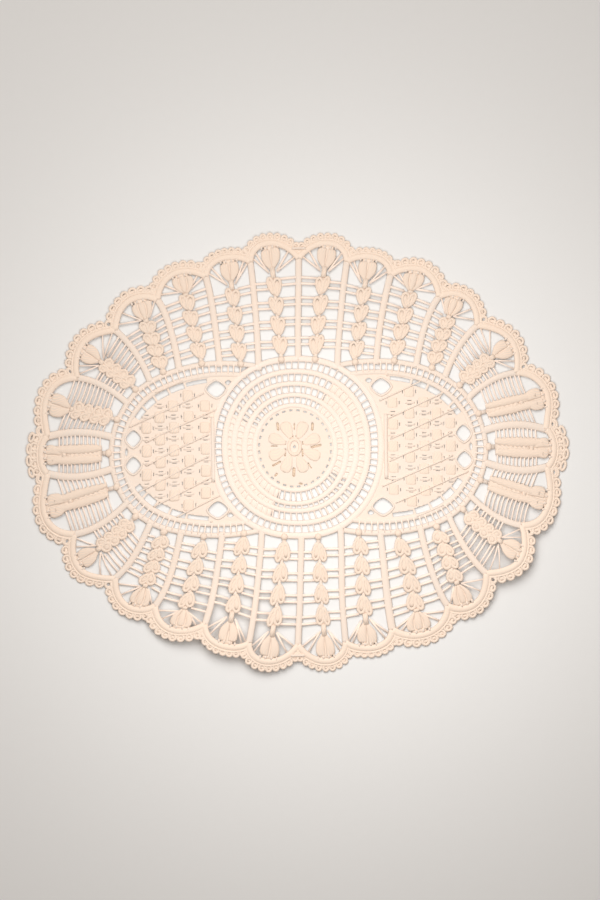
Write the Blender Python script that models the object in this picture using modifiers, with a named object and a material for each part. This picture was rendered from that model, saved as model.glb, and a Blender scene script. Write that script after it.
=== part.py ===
"""Oval lace doily, laid flat, as one sheet of cotton lace.

Twenty-six wheat-ear fingers stand around an eye-shaped frame of two cords with a
round rosette at its middle. The sheet is drawn evenly as an outline, its larger gaps
and the middle lines of its cords, and filled with triangles. Its points then move as
soft cloth lies, and it is thickened upwards: most at the cords, least at the edges of
the gaps. All sizes are metres.
"""

import math

import bmesh
import bpy
from mathutils import Vector
from mathutils.geometry import delaunay_2d_cdt

# Thickness of the lace
GROUND = 0.0014
CORD_RISE = 0.0011
RELIEF = {"cord": 1.0, "ear": 0.75, "petal": 0.5, "groove": 0.0}

# Cords and threads
RIB_WIDTH = 0.0040
ARCH_WIDTH = 0.0046
FRAME_WIDTH = 0.0036
THREAD = 0.0011
PAIR_GAP = 0.0046
PAIR_GAP_SHARE = 0.21
GAP_MARGIN = 0.0005

# Ribs between the fingers, from the upper axis round to the tip, in the quarter
# where x and y are positive.
# Columns: outer end x, y, middle x, y, inner end x, y
RIBS = (
    (0.0000, 0.1385, 0.0000, 0.1020, 0.0000, 0.0645),
    (0.0360, 0.1360, 0.0315, 0.0985, 0.0285, 0.0575),
    (0.0690, 0.1250, 0.0620, 0.0965, 0.0570, 0.0605),
    (0.1025, 0.1080, 0.0930, 0.0885, 0.0860, 0.0580),
    (0.1305, 0.0870, 0.1170, 0.0710, 0.1070, 0.0500),
    (0.1600, 0.0520, 0.1415, 0.0465, 0.1240, 0.0335),
    (0.1820, 0.0115, 0.1595, 0.0140, 0.1355, 0.0100),
)
LAST_RIB = len(RIBS) - 1

# Fingers, each between rib k and rib k + 1. The last one lies across the x axis.
# Columns: arch's first handle x, y, second handle x, y, place of the ear's top along
# the arch, places of its middle and its foot between the ribs, edge band, thread pairs,
# level of the first pair and of the last, slant at the arch and at the frame
FINGERS = (
    (0.0115, 0.1545, 0.0355, 0.1530, 0.50, 0.50, 0.42, 0.0075, 4, 0.225, 0.800,
     math.radians(-2), math.radians(-5)),
    (0.0440, 0.1425, 0.0685, 0.1410, 0.44, 0.50, 0.45, 0.0068, 4, 0.266, 0.815,
     math.radians(9), math.radians(-3)),
    (0.0785, 0.1310, 0.1005, 0.1325, 0.46, 0.50, 0.43, 0.0080, 4, 0.170, 0.770,
     math.radians(8), math.radians(0)),
    (0.1115, 0.1130, 0.1305, 0.1115, 0.38, 0.50, 0.50, 0.0076, 4, 0.200, 0.760,
     math.radians(14), math.radians(6)),
    (0.1440, 0.0855, 0.1635, 0.0810, 0.68, 0.60, 0.50, 0.0080, 4, 0.240, 0.720,
     math.radians(2), math.radians(2)),
    (0.1735, 0.0520, 0.1910, 0.0435, 0.70, 0.60, 0.50, 0.0078, 4, 0.230, 0.725,
     math.radians(-10), math.radians(-10)),
    (0.1890, 0.0090, 0.1890, -0.0090, 0.50, 0.50, 0.50, 0.0108, 3, 0.342, 0.758, 0.0, 0.0),
)
# How much further out an ear's threads start on its side toward the upper axis
SIDE_STEP = 0.0011

# Half widths of a wheat ear
TULIP_HALF = 0.0085
LEAF_HALF = 0.0060
NECK_HALF = 0.0042
FOOT_HALF = 0.0030
TULIP_FOOT = 0.10
TULIP_FLARE = 0.30
LEAF_END = 0.06
EAR_RIDGE = (0.06, 0.28, 0.50, 0.72, 0.92)

# Fan-shaped gap on each side of a tulip
FAN_ARCH_SHARES = (0.30, 0.60)
FAN_TOP = -0.02
FAN_CORNER = 0.05
FAN_CORNER_FROM = 0.12

# Eye-shaped frame: outer cord as a curve with two handles, inner cord beside it
LOBE = ((0.0310, 0.0600), (0.0925, 0.0710), (0.1365, 0.0400), (0.1365, 0.0))
LOBE_GAP = 0.0080
INNER_START = 0.6
SLIT_OFFSET = 0.0128
SLIT_WIDTH = 0.0046
SLITS = ((0.37, 0.46), (0.51, 0.60), (0.65, 0.72))

# Round gaps in each lobe's filling. Columns: x, y, half width, half height
EYELETS = (
    (0.0600, 0.0440, 0.0058, 0.0058),
    (0.1206, 0.0092, 0.0049, 0.0054),
)
EYELET_SIDES = 8

# Chequered filling of each lobe: raised blocks with windows between them
CHEQUER_START = 0.0700
CHEQUER_COLUMNS = 5
CHEQUER_ROWS = 6
CHEQUER_PITCH = (0.0103, 0.0080)
BLOCK_HALF = (0.0030, 0.0036)
BLOCK_MARGIN = 0.0195
WINDOW_MARGIN = 0.0170
RING_MARGIN = 0.0060
EYELET_MARGIN = 0.0035

# Rosette rings, from outside in.
# Columns: middle x, y, half width, half height, points, relief
RINGS = (
    (-0.0021, 0.0007, 0.0608, 0.0637, 40, "cord"),
    (-0.0027, 0.0004, 0.0515, 0.0547, 36, "cord"),
    (-0.0030, 0.0003, 0.0480, 0.0500, 28, "groove"),
    (-0.0034, 0.0003, 0.0445, 0.0454, 28, "cord"),
    (-0.0035, -0.0010, 0.0395, 0.0425, 24, "groove"),
    (-0.0035, -0.0022, 0.0345, 0.0398, 24, "cord"),
    (-0.0034, -0.0026, 0.0290, 0.0352, 24, "cord"),
    (-0.0030, -0.0025, 0.0256, 0.0312, 20, "groove"),
    (-0.0040, 0.0000, 0.0150, 0.0175, 16, "petal"),
    (-0.0041, 0.0010, 0.0065, 0.0080, 8, "groove"),
)
# Ladder between the two outer rings. Columns: middle x, y, half width, half height
LADDER_RING = (-0.0024, 0.0006, 0.0559, 0.0590)
LADDER_WIDTH = 0.0043
LADDER_CELLS = 22
LADDER_BAR = 0.0020

# Small gap where the two upper, or the two lower, arches meet
VALLEY_TOP = 0.0036
VALLEY_HALF = 0.0027
VALLEY_FOOT = 0.1412

# How the soft cloth lies: its middle is shifted and turned, and its rim strays.
CORE_SHIFT = (0.0012, 0.0034)
CORE_TURN = math.radians(0.95)
CORE_SHARE = 0.35
RIM = (0.198, 0.157)
# Columns: direction in degrees, shift of the rim in x, in y
RIM_DRIFT = (
    (0, 0.0000, 0.0035),
    (6, -0.0020, 0.0070),
    (14, -0.0020, 0.0060),
    (20, 0.0000, 0.0060),
    (48, 0.0005, 0.0055),
    (55, -0.0005, 0.0060),
    (62, -0.0020, 0.0045),
    (74, 0.0000, 0.0030),
    (90, 0.0010, 0.0030),
    (118, 0.0020, 0.0030),
    (133, 0.0000, 0.0040),
    (146, -0.0030, 0.0025),
    (160, -0.0020, 0.0030),
    (167, 0.0000, 0.0020),
    (174, 0.0000, 0.0015),
    (187, -0.0005, -0.0060),
    (200, -0.0040, -0.0090),
    (208, -0.0055, -0.0080),
    (214, -0.0035, -0.0055),
    (227, -0.0020, -0.0045),
    (241, 0.0015, 0.0005),
    (254, 0.0005, -0.0025),
    (270, 0.0000, -0.0020),
    (288, -0.0020, -0.0030),
    (298, -0.0010, -0.0055),
    (312, 0.0070, -0.0050),
    (325, 0.0065, -0.0015),
    (333, 0.0060, -0.0020),
    (340, 0.0035, -0.0015),
    (347, -0.0005, -0.0010),
    (354, 0.0000, -0.0005),
)

# Stretches of the rim that lift off the table.
# Columns: direction, half spread of the direction, height at the rim
LIFTS = (
    (math.radians(-109), math.radians(27), 0.0090),
    (math.radians(-32), math.radians(24), 0.0080),
)
LIFT_START = 0.52

ARCH_POINTS = 8
OUTLINE_POINTS = 8
LOBE_POINTS = 12
RIB_POINTS = 3
RIB_END = 0.0020
HALVINGS = 40
QUARTERS = ((1, 1), (-1, 1), (-1, -1), (1, -1))


def mix(a, b, t):
    return (a[0] + (b[0] - a[0]) * t, a[1] + (b[1] - a[1]) * t)


def toward(a, b, distance):
    return mix(a, b, distance / math.dist(a, b))


def bezier(p0, p1, p2, p3, t):
    a, b, c = mix(p0, p1, t), mix(p1, p2, t), mix(p2, p3, t)
    return mix(mix(a, b, t), mix(b, c, t), t)


def parabola(start, middle, end, share, t):
    """Point at t of the parabola from start to end that passes middle at share."""
    rest = 1 - share
    handle = [(m - rest * rest * a - share * share * b) / (2 * rest * share)
              for a, m, b in zip(start, middle, end)]
    return mix(mix(start, handle, t), mix(handle, end, t), t)


def heading(curve, t):
    a, b = curve(t - 0.001), curve(t + 0.001)
    return ((b[0] - a[0]) / math.dist(a, b), (b[1] - a[1]) / math.dist(a, b))


def beside(curve, t, distance):
    """Point of a curve at t, moved to its left."""
    x, y = curve(t)
    hx, hy = heading(curve, t)
    return (x - hy * distance, y + hx * distance)


def rib(k, t):
    """Point of rib k, from 0 at its outer end to 1 at the frame."""
    row = RIBS[min(k, LAST_RIB)]
    x, y = parabola(row[0:2], row[2:4], row[4:6], 0.5, t)
    return (x, y) if k <= LAST_RIB else (x, -y)


def arch(k, t):
    row = FINGERS[k]
    return bezier(rib(k, 0), row[0:2], row[2:4], rib(k + 1, 0), t)


def ear(k, t):
    """Point of the middle line of finger k's ear, from the arch to the frame."""
    top = arch(k, FINGERS[k][4])
    middle = mix(rib(k, 0.5), rib(k + 1, 0.5), FINGERS[k][5])
    end = mix(rib(k, 1), rib(k + 1, 1), FINGERS[k][6])
    upper, lower = math.dist(top, middle), math.dist(middle, end)
    return parabola(top, middle, end, upper / (upper + lower), t)


def ear_length(k):
    steps = 8
    return sum(math.dist(ear(k, i / steps), ear(k, (i + 1) / steps)) for i in range(steps))


def ear_start(k):
    """Where along the ear its ribs begin."""
    return math.dist(ear(k, 0), mix(rib(k, 0), rib(k + 1, 0), 0.5)) / ear_length(k)


def ear_at(k, level):
    """Ear parameter of a level, 0 where the ribs begin and 1 at the frame."""
    return ear_start(k) + (1 - ear_start(k)) * level


def pair_levels(k):
    pairs, first, last = FINGERS[k][8:11]
    return [first + (last - first) * j / (pairs - 1) for j in range(pairs)]


def ear_half(k, level):
    """Half width of the ear: a tulip, then leaves at the thread pairs, then a foot."""
    if level < TULIP_FOOT:
        flare = min((TULIP_FOOT - level) / TULIP_FLARE, 1)
        return NECK_HALF + (TULIP_HALF - NECK_HALF) * flare
    if level > pair_levels(k)[-1] + LEAF_END:
        return FOOT_HALF
    levels = pair_levels(k)
    turns = (level - levels[0]) / (levels[1] - levels[0])
    return LEAF_HALF + (NECK_HALF - LEAF_HALF) * abs(turns - round(turns)) * 2


def across(k, side, level):
    """Where a thread at this level leaves rib k + side, and where it meets the ear."""
    away = 1 if side == 0 else -1
    step = SIDE_STEP / ear_length(k) if k < LAST_RIB else 0.0
    u = ear_at(k, level) - step * away
    x, y = ear(k, u)
    hx, hy = heading(lambda t: ear(k, t), u)
    outer, inner = FINGERS[k][11:13]
    turn = math.radians(90) * away - (outer + (inner - outer) * level)
    dx = hx * math.cos(turn) - hy * math.sin(turn)
    dy = hx * math.sin(turn) + hy * math.cos(turn)

    def off_line(t):
        px, py = rib(k + side, t)
        return (px - x) * dy - (py - y) * dx

    low, high = -0.3, 1.3
    rising = off_line(low) > 0
    for _ in range(HALVINGS):
        t = (low + high) / 2
        low, high = (t, high) if (off_line(t) > 0) == rising else (low, t)
    at_rib = rib(k + side, low)
    return toward(at_rib, (x, y), RIB_WIDTH / 2), toward((x, y), at_rib, ear_half(k, level)), low


def finger_gaps(k, side):
    """Gaps between one rib and the ear: the fan, those between pairs, and the foot."""
    levels = pair_levels(k)
    run = ear_length(k) * (1 - ear_start(k))
    pitch = run * (levels[1] - levels[0])
    half = min((PAIR_GAP + THREAD) / 2, PAIR_GAP_SHARE * pitch) / run

    at_rib, at_ear, place = across(k, side, levels[0] - half)
    end = float(side)
    top = FINGERS[k][4]
    under_arch = -ARCH_WIDTH / 2 - GAP_MARGIN
    fan = [at_rib]
    if place > FAN_CORNER_FROM:
        fan.append(toward(rib(k + side, FAN_CORNER), ear(k, ear_at(k, 0)), RIB_WIDTH / 2))
    for share in FAN_ARCH_SHARES:
        fan.append(beside(lambda t: arch(k, t), end + (top - end) * share, under_arch))
    fan += [across(k, side, FAN_TOP)[1], at_ear]
    gaps = [fan]

    for upper, lower in zip(levels, levels[1:]):
        rib_upper, ear_upper, _ = across(k, side, upper + half)
        rib_lower, ear_lower, _ = across(k, side, lower - half)
        neck = across(k, side, (upper + lower) / 2)[1]
        gaps.append([rib_upper, rib_lower, ear_lower, neck, ear_upper])

    at_rib, at_ear, _ = across(k, side, levels[-1] + half)
    seat = FRAME_WIDTH / 2 + 2 * GAP_MARGIN
    rib_foot = rib(k + side, 1 - seat / math.dist(rib(k + side, 0), rib(k + side, 1)))
    ear_foot = ear(k, 1 - seat / ear_length(k))
    gaps.append([at_rib, toward(rib_foot, ear_foot, RIB_WIDTH / 2),
                 toward(ear_foot, rib_foot, FOOT_HALF), at_ear])
    return gaps


def ellipse(width, height, count, x=0.0, y=0.0, turn=0.0):
    angles = [turn + math.tau * i / count for i in range(count)]
    return [(x + width * math.cos(a), y + height * math.sin(a)) for a in angles]


def lobe(t):
    return bezier(*LOBE, t)


def lobe_gaps():
    """Slits under the inner cord, and the round gaps of the filling."""
    gaps = []
    for start, end in SLITS:
        outer = [beside(lobe, t, SLIT_WIDTH / 2 - SLIT_OFFSET) for t in (start, end)]
        inner = [beside(lobe, t, -SLIT_WIDTH / 2 - SLIT_OFFSET) for t in (end, start)]
        gaps.append(outer + inner)
    for x, y, width, height in EYELETS:
        gaps.append(ellipse(width, height, EYELET_SIDES, x, y, math.pi / EYELET_SIDES))
    return gaps


def ladder_gaps():
    """Gaps of the ladder between the two outer rings of the rosette."""
    gaps = []
    x, y, width, height = LADDER_RING
    bar = LADDER_BAR / (width + height)
    for i in range(LADDER_CELLS):
        start = math.tau * i / LADDER_CELLS + bar
        end = math.tau * (i + 1) / LADDER_CELLS - bar
        angles = (start, (start + end) / 2, end)
        half = LADDER_WIDTH / 2
        outer, inner = [[(x + (width + d) * math.cos(a), y + (height + d) * math.sin(a))
                         for a in angles] for d in (half, -half)]
        gaps.append(outer + inner[::-1])
    return gaps


def crossing(first, second):
    """First crossing of two polylines: the index on each, and the point."""
    for i, (a, b) in enumerate(zip(first, first[1:])):
        for j, (c, d) in enumerate(zip(second, second[1:])):
            cross = (b[0] - a[0]) * (d[1] - c[1]) - (b[1] - a[1]) * (d[0] - c[0])
            if not cross:
                continue
            s = ((c[0] - a[0]) * (d[1] - c[1]) - (c[1] - a[1]) * (d[0] - c[0])) / cross
            t = ((c[0] - a[0]) * (b[1] - a[1]) - (c[1] - a[1]) * (b[0] - a[0])) / cross
            if 0 <= s <= 1 and 0 <= t <= 1:
                return i + s, j + t, mix(a, b, s)
    raise ValueError("the edges of two scallops do not meet")


def quarter_outline():
    """Scalloped edge from the upper axis to the tip, without the last point."""
    fine = 60
    edges = [[beside(lambda t: arch(k, t), i / fine, FINGERS[k][7]) for i in range(fine + 1)]
             for k in range(len(FINGERS))]
    mirror = [(-x, y) for x, y in edges[0]]
    starts, ends, corners = [], [], []
    for before, after in zip([mirror] + edges, edges):
        if before is mirror:
            _, start, corner = crossing(mirror, after)
            corner = (0.0, corner[1])
        else:
            end, start, corner = crossing(before, after)
            ends.append(end)
        starts.append(start)
        corners.append(corner)
    ends.append(fine / 2)
    outline = []
    for k, (start, end, corner) in enumerate(zip(starts, ends, corners)):
        count = OUTLINE_POINTS if k < LAST_RIB else OUTLINE_POINTS // 2
        outline.append(corner)
        for i in range(1, count):
            t = (start + (end - start) * i / count) / fine
            outline.append(beside(lambda u: arch(k, u), t, FINGERS[k][7]))
    tip = beside(lambda u: arch(LAST_RIB, u), 0.5, FINGERS[LAST_RIB][7])
    return outline, (tip[0], 0.0)


def whole_outline():
    """The four quarters of the edge as one loop."""
    quarter, tip = quarter_outline()
    left = [(-x, y) for x, y in quarter]
    loop = quarter + [tip] + [(x, -y) for x, y in quarter[:0:-1]]
    loop += [(x, -y) for x, y in left] + [(-tip[0], 0.0)] + left[:0:-1]
    return loop


def quarter_gaps():
    gaps = []
    for k in range(len(FINGERS)):
        for side in ((0, 1) if k < LAST_RIB else (0,)):
            gaps += finger_gaps(k, side)
    return gaps + lobe_gaps()


def all_gaps():
    gaps = [[(x * sx, y * sy) for x, y in gap] for gap in quarter_gaps() for sx, sy in QUARTERS]
    gaps += ladder_gaps()
    for sy in (1, -1):
        gaps.append([(0.0, sy * VALLEY_FOOT),
                     (VALLEY_HALF, sy * (VALLEY_FOOT + VALLEY_TOP)),
                     (-VALLEY_HALF, sy * (VALLEY_FOOT + VALLEY_TOP))])
    return gaps


def quarter_ridges():
    """Middle lines of the raised cords and ears. Each row: points, relief."""
    ridges = []
    for k in range(len(RIBS)):
        stop = 1 - RIB_END / math.dist(rib(k, 0), rib(k, 1))
        line = [rib(k, stop * i / RIB_POINTS) for i in range(RIB_POINTS + 1)]
        ridges.append((line, "cord"))
    for k in range(len(FINGERS)):
        steps = ARCH_POINTS if k < LAST_RIB else ARCH_POINTS // 2
        reach = 1.0 if k < LAST_RIB else 0.5
        ridges.append(([arch(k, reach * i / steps) for i in range(steps + 1)], "cord"))
        ridges.append(([ear(k, t) for t in EAR_RIDGE], "ear"))
    ridges.append(([lobe(i / LOBE_POINTS) for i in range(LOBE_POINTS + 1)], "cord"))
    inner = [beside(lobe, (i + INNER_START) / LOBE_POINTS, -LOBE_GAP)
             for i in range(LOBE_POINTS)]
    ridges.append((inner + [(lobe(1)[0] - LOBE_GAP, 0.0)], "cord"))
    return ridges


def clear_of_frame(x, y, margin):
    """Whether a point of the filling keeps its distance from frame, ring and eyelets."""
    from_cord = min(math.dist((x, y), lobe(i / 30)) for i in range(31))
    width, height = RINGS[0][2:4]
    from_ring = math.hypot(x / width, y / height) * width - width
    from_eyelet = min(math.dist((x, y), row[0:2]) - row[2] for row in EYELETS)
    return from_cord > margin and from_ring > RING_MARGIN and from_eyelet > EYELET_MARGIN


def quarter_chequer():
    """Middles of the filling's blocks and windows, in one quarter."""
    blocks, windows = [], []
    for column in range(CHEQUER_COLUMNS):
        for row in range(CHEQUER_ROWS):
            x = CHEQUER_START + column * CHEQUER_PITCH[0]
            y = row * CHEQUER_PITCH[1]
            is_block = (column + row) % 2 == 0
            if clear_of_frame(x, y, BLOCK_MARGIN if is_block else WINDOW_MARGIN):
                (blocks if is_block else windows).append((x, y))
    return blocks, windows


def chequer_lines():
    """Rims of the raised blocks, and the low points of the windows."""
    blocks, windows = quarter_chequer()
    width, height = BLOCK_HALF
    lines = []
    for sx, sy in QUARTERS:
        for x, y in windows:
            lines.append(([(x * sx, y * sy)], "groove"))
        for x, y in blocks:
            if y == 0 and sy < 0:
                continue
            rim = [(x * sx + cx * width, y * sy + cy * height)
                   for cx, cy in ((-1, -1), (1, -1), (1, 1), (-1, 1), (-1, -1))]
            lines.append((rim, "petal"))
    return lines


def all_ridges():
    ridges = chequer_lines()
    for points, relief in quarter_ridges():
        for sx, sy in QUARTERS:
            ridges.append(([(x * sx, y * sy) for x, y in points], relief))
    for x, y, width, height, count, relief in RINGS:
        ring = ellipse(width, height, count, x, y, math.pi / count)
        ridges.append((ring + ring[:1], relief))
    return ridges


def inside(point, loop):
    """Whether a point lies in a closed loop."""
    x, y = point
    result = False
    for (ax, ay), (bx, by) in zip(loop, loop[1:] + loop[:1]):
        if (ay > y) != (by > y) and x < ax + (bx - ax) * (y - ay) / (by - ay):
            result = not result
    return result


def smooth(t):
    t = min(max(t, 0), 1)
    return t * t * (3 - 2 * t)


def drift(x, y):
    """Where a drawn point comes to lie."""
    degrees = math.degrees(math.atan2(y, x)) % 360
    after = next((i for i, row in enumerate(RIM_DRIFT) if row[0] > degrees), 0)
    a, b = RIM_DRIFT[after - 1], RIM_DRIFT[after]
    rim = mix(a[1:], b[1:], (degrees - a[0]) / ((b[0] - a[0]) % 360))
    core = (CORE_SHIFT[0] - y * CORE_TURN, CORE_SHIFT[1] + x * CORE_TURN)
    out = math.hypot(x / RIM[0], y / RIM[1])
    dx, dy = mix(core, rim, smooth((out - CORE_SHARE) / (1 - CORE_SHARE)))
    return (x + dx, y + dy)


def lift(x, y):
    """Height of the sheet's underside. The rim rises in a few soft stretches."""
    out = math.hypot(x / RIM[0], y / RIM[1])
    direction = math.atan2(y / RIM[1], x / RIM[0])
    height = 0.0
    for middle, spread, rise in LIFTS:
        turn = abs(math.remainder(direction - middle, math.tau)) / spread
        height += rise * smooth((out - LIFT_START) / (1 - LIFT_START)) * smooth(1 - turn)
    return height


def plan_of_sheet():
    """Flat triangles of the lace, with the relief of each point."""
    points, reliefs, edges = [], [], []

    def add_line(line, relief, closed):
        first = len(points)
        for x, y in line:
            points.append(Vector((x, y)))
            reliefs.append(RELIEF[relief])
        edges.extend((i, i + 1) for i in range(first, len(points) - 1))
        if closed:
            edges.append((len(points) - 1, first))

    outline = whole_outline()
    gaps = all_gaps()
    add_line(outline, "groove", True)
    for gap in gaps:
        add_line(gap, "groove", True)
    for line, relief in all_ridges():
        add_line(line, relief, False)

    flat = delaunay_2d_cdt(points, edges, [], 0, 1e-6)
    verts, faces, sources = flat[0], flat[2], flat[3]
    relief_of = [max((reliefs[i] for i in origin), default=RELIEF["cord"]) for origin in sources]
    boxes = [(min(p[0] for p in gap), max(p[0] for p in gap), min(p[1] for p in gap),
              max(p[1] for p in gap), gap) for gap in gaps]
    kept = []
    for face in faces:
        x = sum(verts[i][0] for i in face) / 3
        y = sum(verts[i][1] for i in face) / 3
        in_gap = any(x0 < x < x1 and y0 < y < y1 and inside((x, y), gap)
                     for x0, x1, y0, y1, gap in boxes)
        if not in_gap and inside((x, y), outline):
            kept.append(face)
    return verts, kept, relief_of


def make_sheet(collection):
    """The lace as an open sheet that a Solidify modifier thickens upwards."""
    verts, faces, reliefs = plan_of_sheet()
    laid = [drift(x, y) for x, y in verts]
    mesh = bpy.data.meshes.new("lace_doily")
    sheet = bmesh.new()
    made = [sheet.verts.new((x, y, lift(x, y))) for x, y in laid]
    for face in faces:
        sheet.faces.new([made[i] for i in face])
    bmesh.ops.recalc_face_normals(sheet, faces=sheet.faces)
    if sum(face.normal.z for face in sheet.faces) < 0:
        bmesh.ops.reverse_faces(sheet, faces=sheet.faces)
    sheet.to_mesh(mesh)
    sheet.free()

    doily = bpy.data.objects.new("lace_doily", mesh)
    collection.objects.link(doily)
    heights = doily.vertex_groups.new(name="thickness")
    full = GROUND + CORD_RISE
    for index, relief in enumerate(reliefs):
        heights.add([index], (GROUND + CORD_RISE * relief) / full, "REPLACE")
    thicken = doily.modifiers.new("thickness", "SOLIDIFY")
    thicken.thickness = full
    thicken.offset = 1.0
    thicken.vertex_group = heights.name
    thicken.thickness_vertex_group = 0.0
    return doily


def cotton():
    material = bpy.data.materials.new("ecru cotton lace")
    material.use_nodes = True
    shader = material.node_tree.nodes["Principled BSDF"]
    shader.inputs["Base Color"].default_value = (0.90, 0.78, 0.62, 1.0)
    shader.inputs["Roughness"].default_value = 0.85
    shader.inputs["Metallic"].default_value = 0.0
    return material


def main():
    for old in list(bpy.data.objects):
        bpy.data.objects.remove(old, do_unlink=True)
    collection = bpy.data.collections.new("Lace doily")
    bpy.context.scene.collection.children.link(collection)
    doily = make_sheet(collection)
    doily.data.materials.append(cotton())


main()
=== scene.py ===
"""Oval lace doily in ecru cotton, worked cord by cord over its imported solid.

The doily is built from strands: flat lines that are swept with an oval section. Each
operator works one group of strands for a quarter of the doily and lays it in all four
quarters. All sizes are metres.
"""

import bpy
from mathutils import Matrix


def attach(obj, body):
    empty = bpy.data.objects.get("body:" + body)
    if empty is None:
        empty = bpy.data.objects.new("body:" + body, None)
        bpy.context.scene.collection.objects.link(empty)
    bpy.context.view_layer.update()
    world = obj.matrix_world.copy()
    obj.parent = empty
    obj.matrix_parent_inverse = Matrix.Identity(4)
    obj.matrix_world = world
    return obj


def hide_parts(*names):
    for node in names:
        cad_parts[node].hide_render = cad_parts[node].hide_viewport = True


bl_info = {
    "name": "Lace doily",
    "version": (1, 0, 0),
    "blender": (4, 5, 0),
    "location": "3D View > Sidebar > Lace",
    "description": "Works an oval lace doily and its stage",
    "category": "Object",
}

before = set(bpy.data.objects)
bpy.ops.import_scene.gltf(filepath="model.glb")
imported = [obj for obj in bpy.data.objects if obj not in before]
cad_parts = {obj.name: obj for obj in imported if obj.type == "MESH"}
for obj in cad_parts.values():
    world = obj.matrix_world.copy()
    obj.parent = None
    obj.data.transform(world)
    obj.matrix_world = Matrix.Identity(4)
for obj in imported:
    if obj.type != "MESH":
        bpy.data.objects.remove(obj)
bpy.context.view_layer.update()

import math
import random
from typing import NamedTuple

import bpy
from bpy.props import FloatProperty, FloatVectorProperty, IntProperty, PointerProperty
from mathutils import Vector, noise
from mathutils.geometry import delaunay_2d_cdt

NODE = "lace_doily"

# Ribs between the fingers, from the upper axis round to the tip, in the quarter
# where x and y are positive.
# Columns: outer end x, y, middle x, y, inner end x, y
RIBS = (
    (0.0000, 0.1385, 0.0000, 0.1020, 0.0000, 0.0645),
    (0.0360, 0.1360, 0.0315, 0.0985, 0.0285, 0.0575),
    (0.0690, 0.1250, 0.0620, 0.0965, 0.0570, 0.0605),
    (0.1025, 0.1080, 0.0930, 0.0885, 0.0860, 0.0580),
    (0.1305, 0.0870, 0.1170, 0.0710, 0.1070, 0.0500),
    (0.1600, 0.0520, 0.1415, 0.0465, 0.1240, 0.0335),
    (0.1820, 0.0115, 0.1595, 0.0140, 0.1355, 0.0100),
)
LAST_RIB = len(RIBS) - 1


class Finger(NamedTuple):
    """One finger between rib k and rib k + 1: its arch and its threads."""

    leave: tuple     # the arch's first handle
    arrive: tuple    # its second handle
    top: float       # place of the ear's top along the arch
    middle: float    # place of the ear's middle between the ribs
    foot: float      # place of the ear's foot between the ribs
    band: float      # width of the edge band
    levels: tuple    # levels of the first pair of threads and of the last
    slants: tuple    # slant in degrees at the arch and at the frame


# The last finger lies across the x axis.
FINGERS = tuple(Finger(*row) for row in (
    ((0.0115, 0.1545), (0.0355, 0.1530), 0.50, 0.5, 0.42, 0.0075, (0.225, 0.800), (-2, -5)),
    ((0.0440, 0.1425), (0.0685, 0.1410), 0.44, 0.5, 0.45, 0.0068, (0.266, 0.815), (9, -3)),
    ((0.0785, 0.1310), (0.1005, 0.1325), 0.46, 0.5, 0.43, 0.0080, (0.170, 0.770), (8, 0)),
    ((0.1115, 0.1130), (0.1305, 0.1115), 0.38, 0.5, 0.50, 0.0076, (0.200, 0.760), (14, 6)),
    ((0.1440, 0.0855), (0.1635, 0.0810), 0.68, 0.6, 0.50, 0.0080, (0.240, 0.720), (2, 2)),
    ((0.1735, 0.0520), (0.1910, 0.0435), 0.70, 0.6, 0.50, 0.0078, (0.230, 0.725), (-10, -10)),
    ((0.1890, 0.0090), (0.1890, -0.0090), 0.50, 0.5, 0.50, 0.0108, (0.342, 0.758), (0, 0)),
))
# How much further out an ear's threads start on its side toward the upper axis
SIDE_STEP = 0.0011


class Ear(NamedTuple):
    """The ear and the edge loops of the same finger."""

    pitch: float           # pitch of the edge's eyelets
    strand: float          # width of the strand round them
    half: float            # half width of the ear
    pairs: int             # pairs of threads
    thread_share: float    # share of a thread's full width
    petals: int            # petals of its tulip
    tulip_half: float      # half width of the tulip
    tulip_length: float
    slit: float            # share of the tulip's length that its slits run


EARS = tuple(Ear(*row) for row in (
    (0.0052, 0.0021, 0.0062, 4, 1.00, 2, 0.0076, 0.0150, 0.60),
    (0.0052, 0.0021, 0.0062, 4, 1.00, 2, 0.0075, 0.0140, 0.55),
    (0.0056, 0.0021, 0.0062, 4, 0.95, 3, 0.0078, 0.0128, 0.70),
    (0.0060, 0.0020, 0.0067, 4, 0.80, 3, 0.0074, 0.0130, 0.80),
    (0.0064, 0.0020, 0.0078, 4, 0.68, 2, 0.0078, 0.0130, 0.60),
    (0.0068, 0.0020, 0.0078, 4, 0.62, 2, 0.0088, 0.0146, 0.45),
    (0.0056, 0.0020, 0.0072, 3, 0.62, 2, 0.0068, 0.0120, 0.60),
))

# Fingers whose leaves stand on a closed band
DENSE_EARS = (4, 5, 6)
# Fingers at the tips have two long bands instead of leaves, and a comb of threads
BANDED = (5, 6)
# One of them has leaves after all: finger and quarter
LEAFY = (5, (-1, 1))

# Width of a wheat ear between its leaves, as a share of its full width
NECK_SHARE = 0.70
# The larger, the sharper a leaf's tip is
LEAF_POINT = 0.7
# How much of a leaf's length and height its filling has, and its half width at its ends
LEAF_FILL, FILL_HEIGHT, FILL_END = 0.86, 0.8, 0.0004
# Leaves on an ear's two sides, and how far a leaf's size strays.
# Columns: side, half width as a share of the ear's, how much further along it stands
LEAF_SIDES = ((-1, 0.38, 0.0008), (1, 0.29, -0.0004))
LEAF_SIZES = (0.93, 1.07)
# Where a leaf's tip and crown lie, before and after its pair, as shares of the pitch, how
# far its tip is from the ear's middle and how far it is set in from the ear's side
LEAF_TIP, LEAF_CROWN, TIP_ASIDE, LEAF_INSET = 0.50, 0.31, 0.0011, 0.0010
# Where the two long bands lie: distance from the arch's cord, and from the ear's middle
BAND_START, BAND_ASIDE = 0.0060, 0.0034
# Half width of a long band at its ends, what it gains in its middle, and its ripple
BAND_HALF, BAND_SWELL, BAND_RIPPLE = 0.0014, 0.0016, (0.0002, 0.0007)
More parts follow.
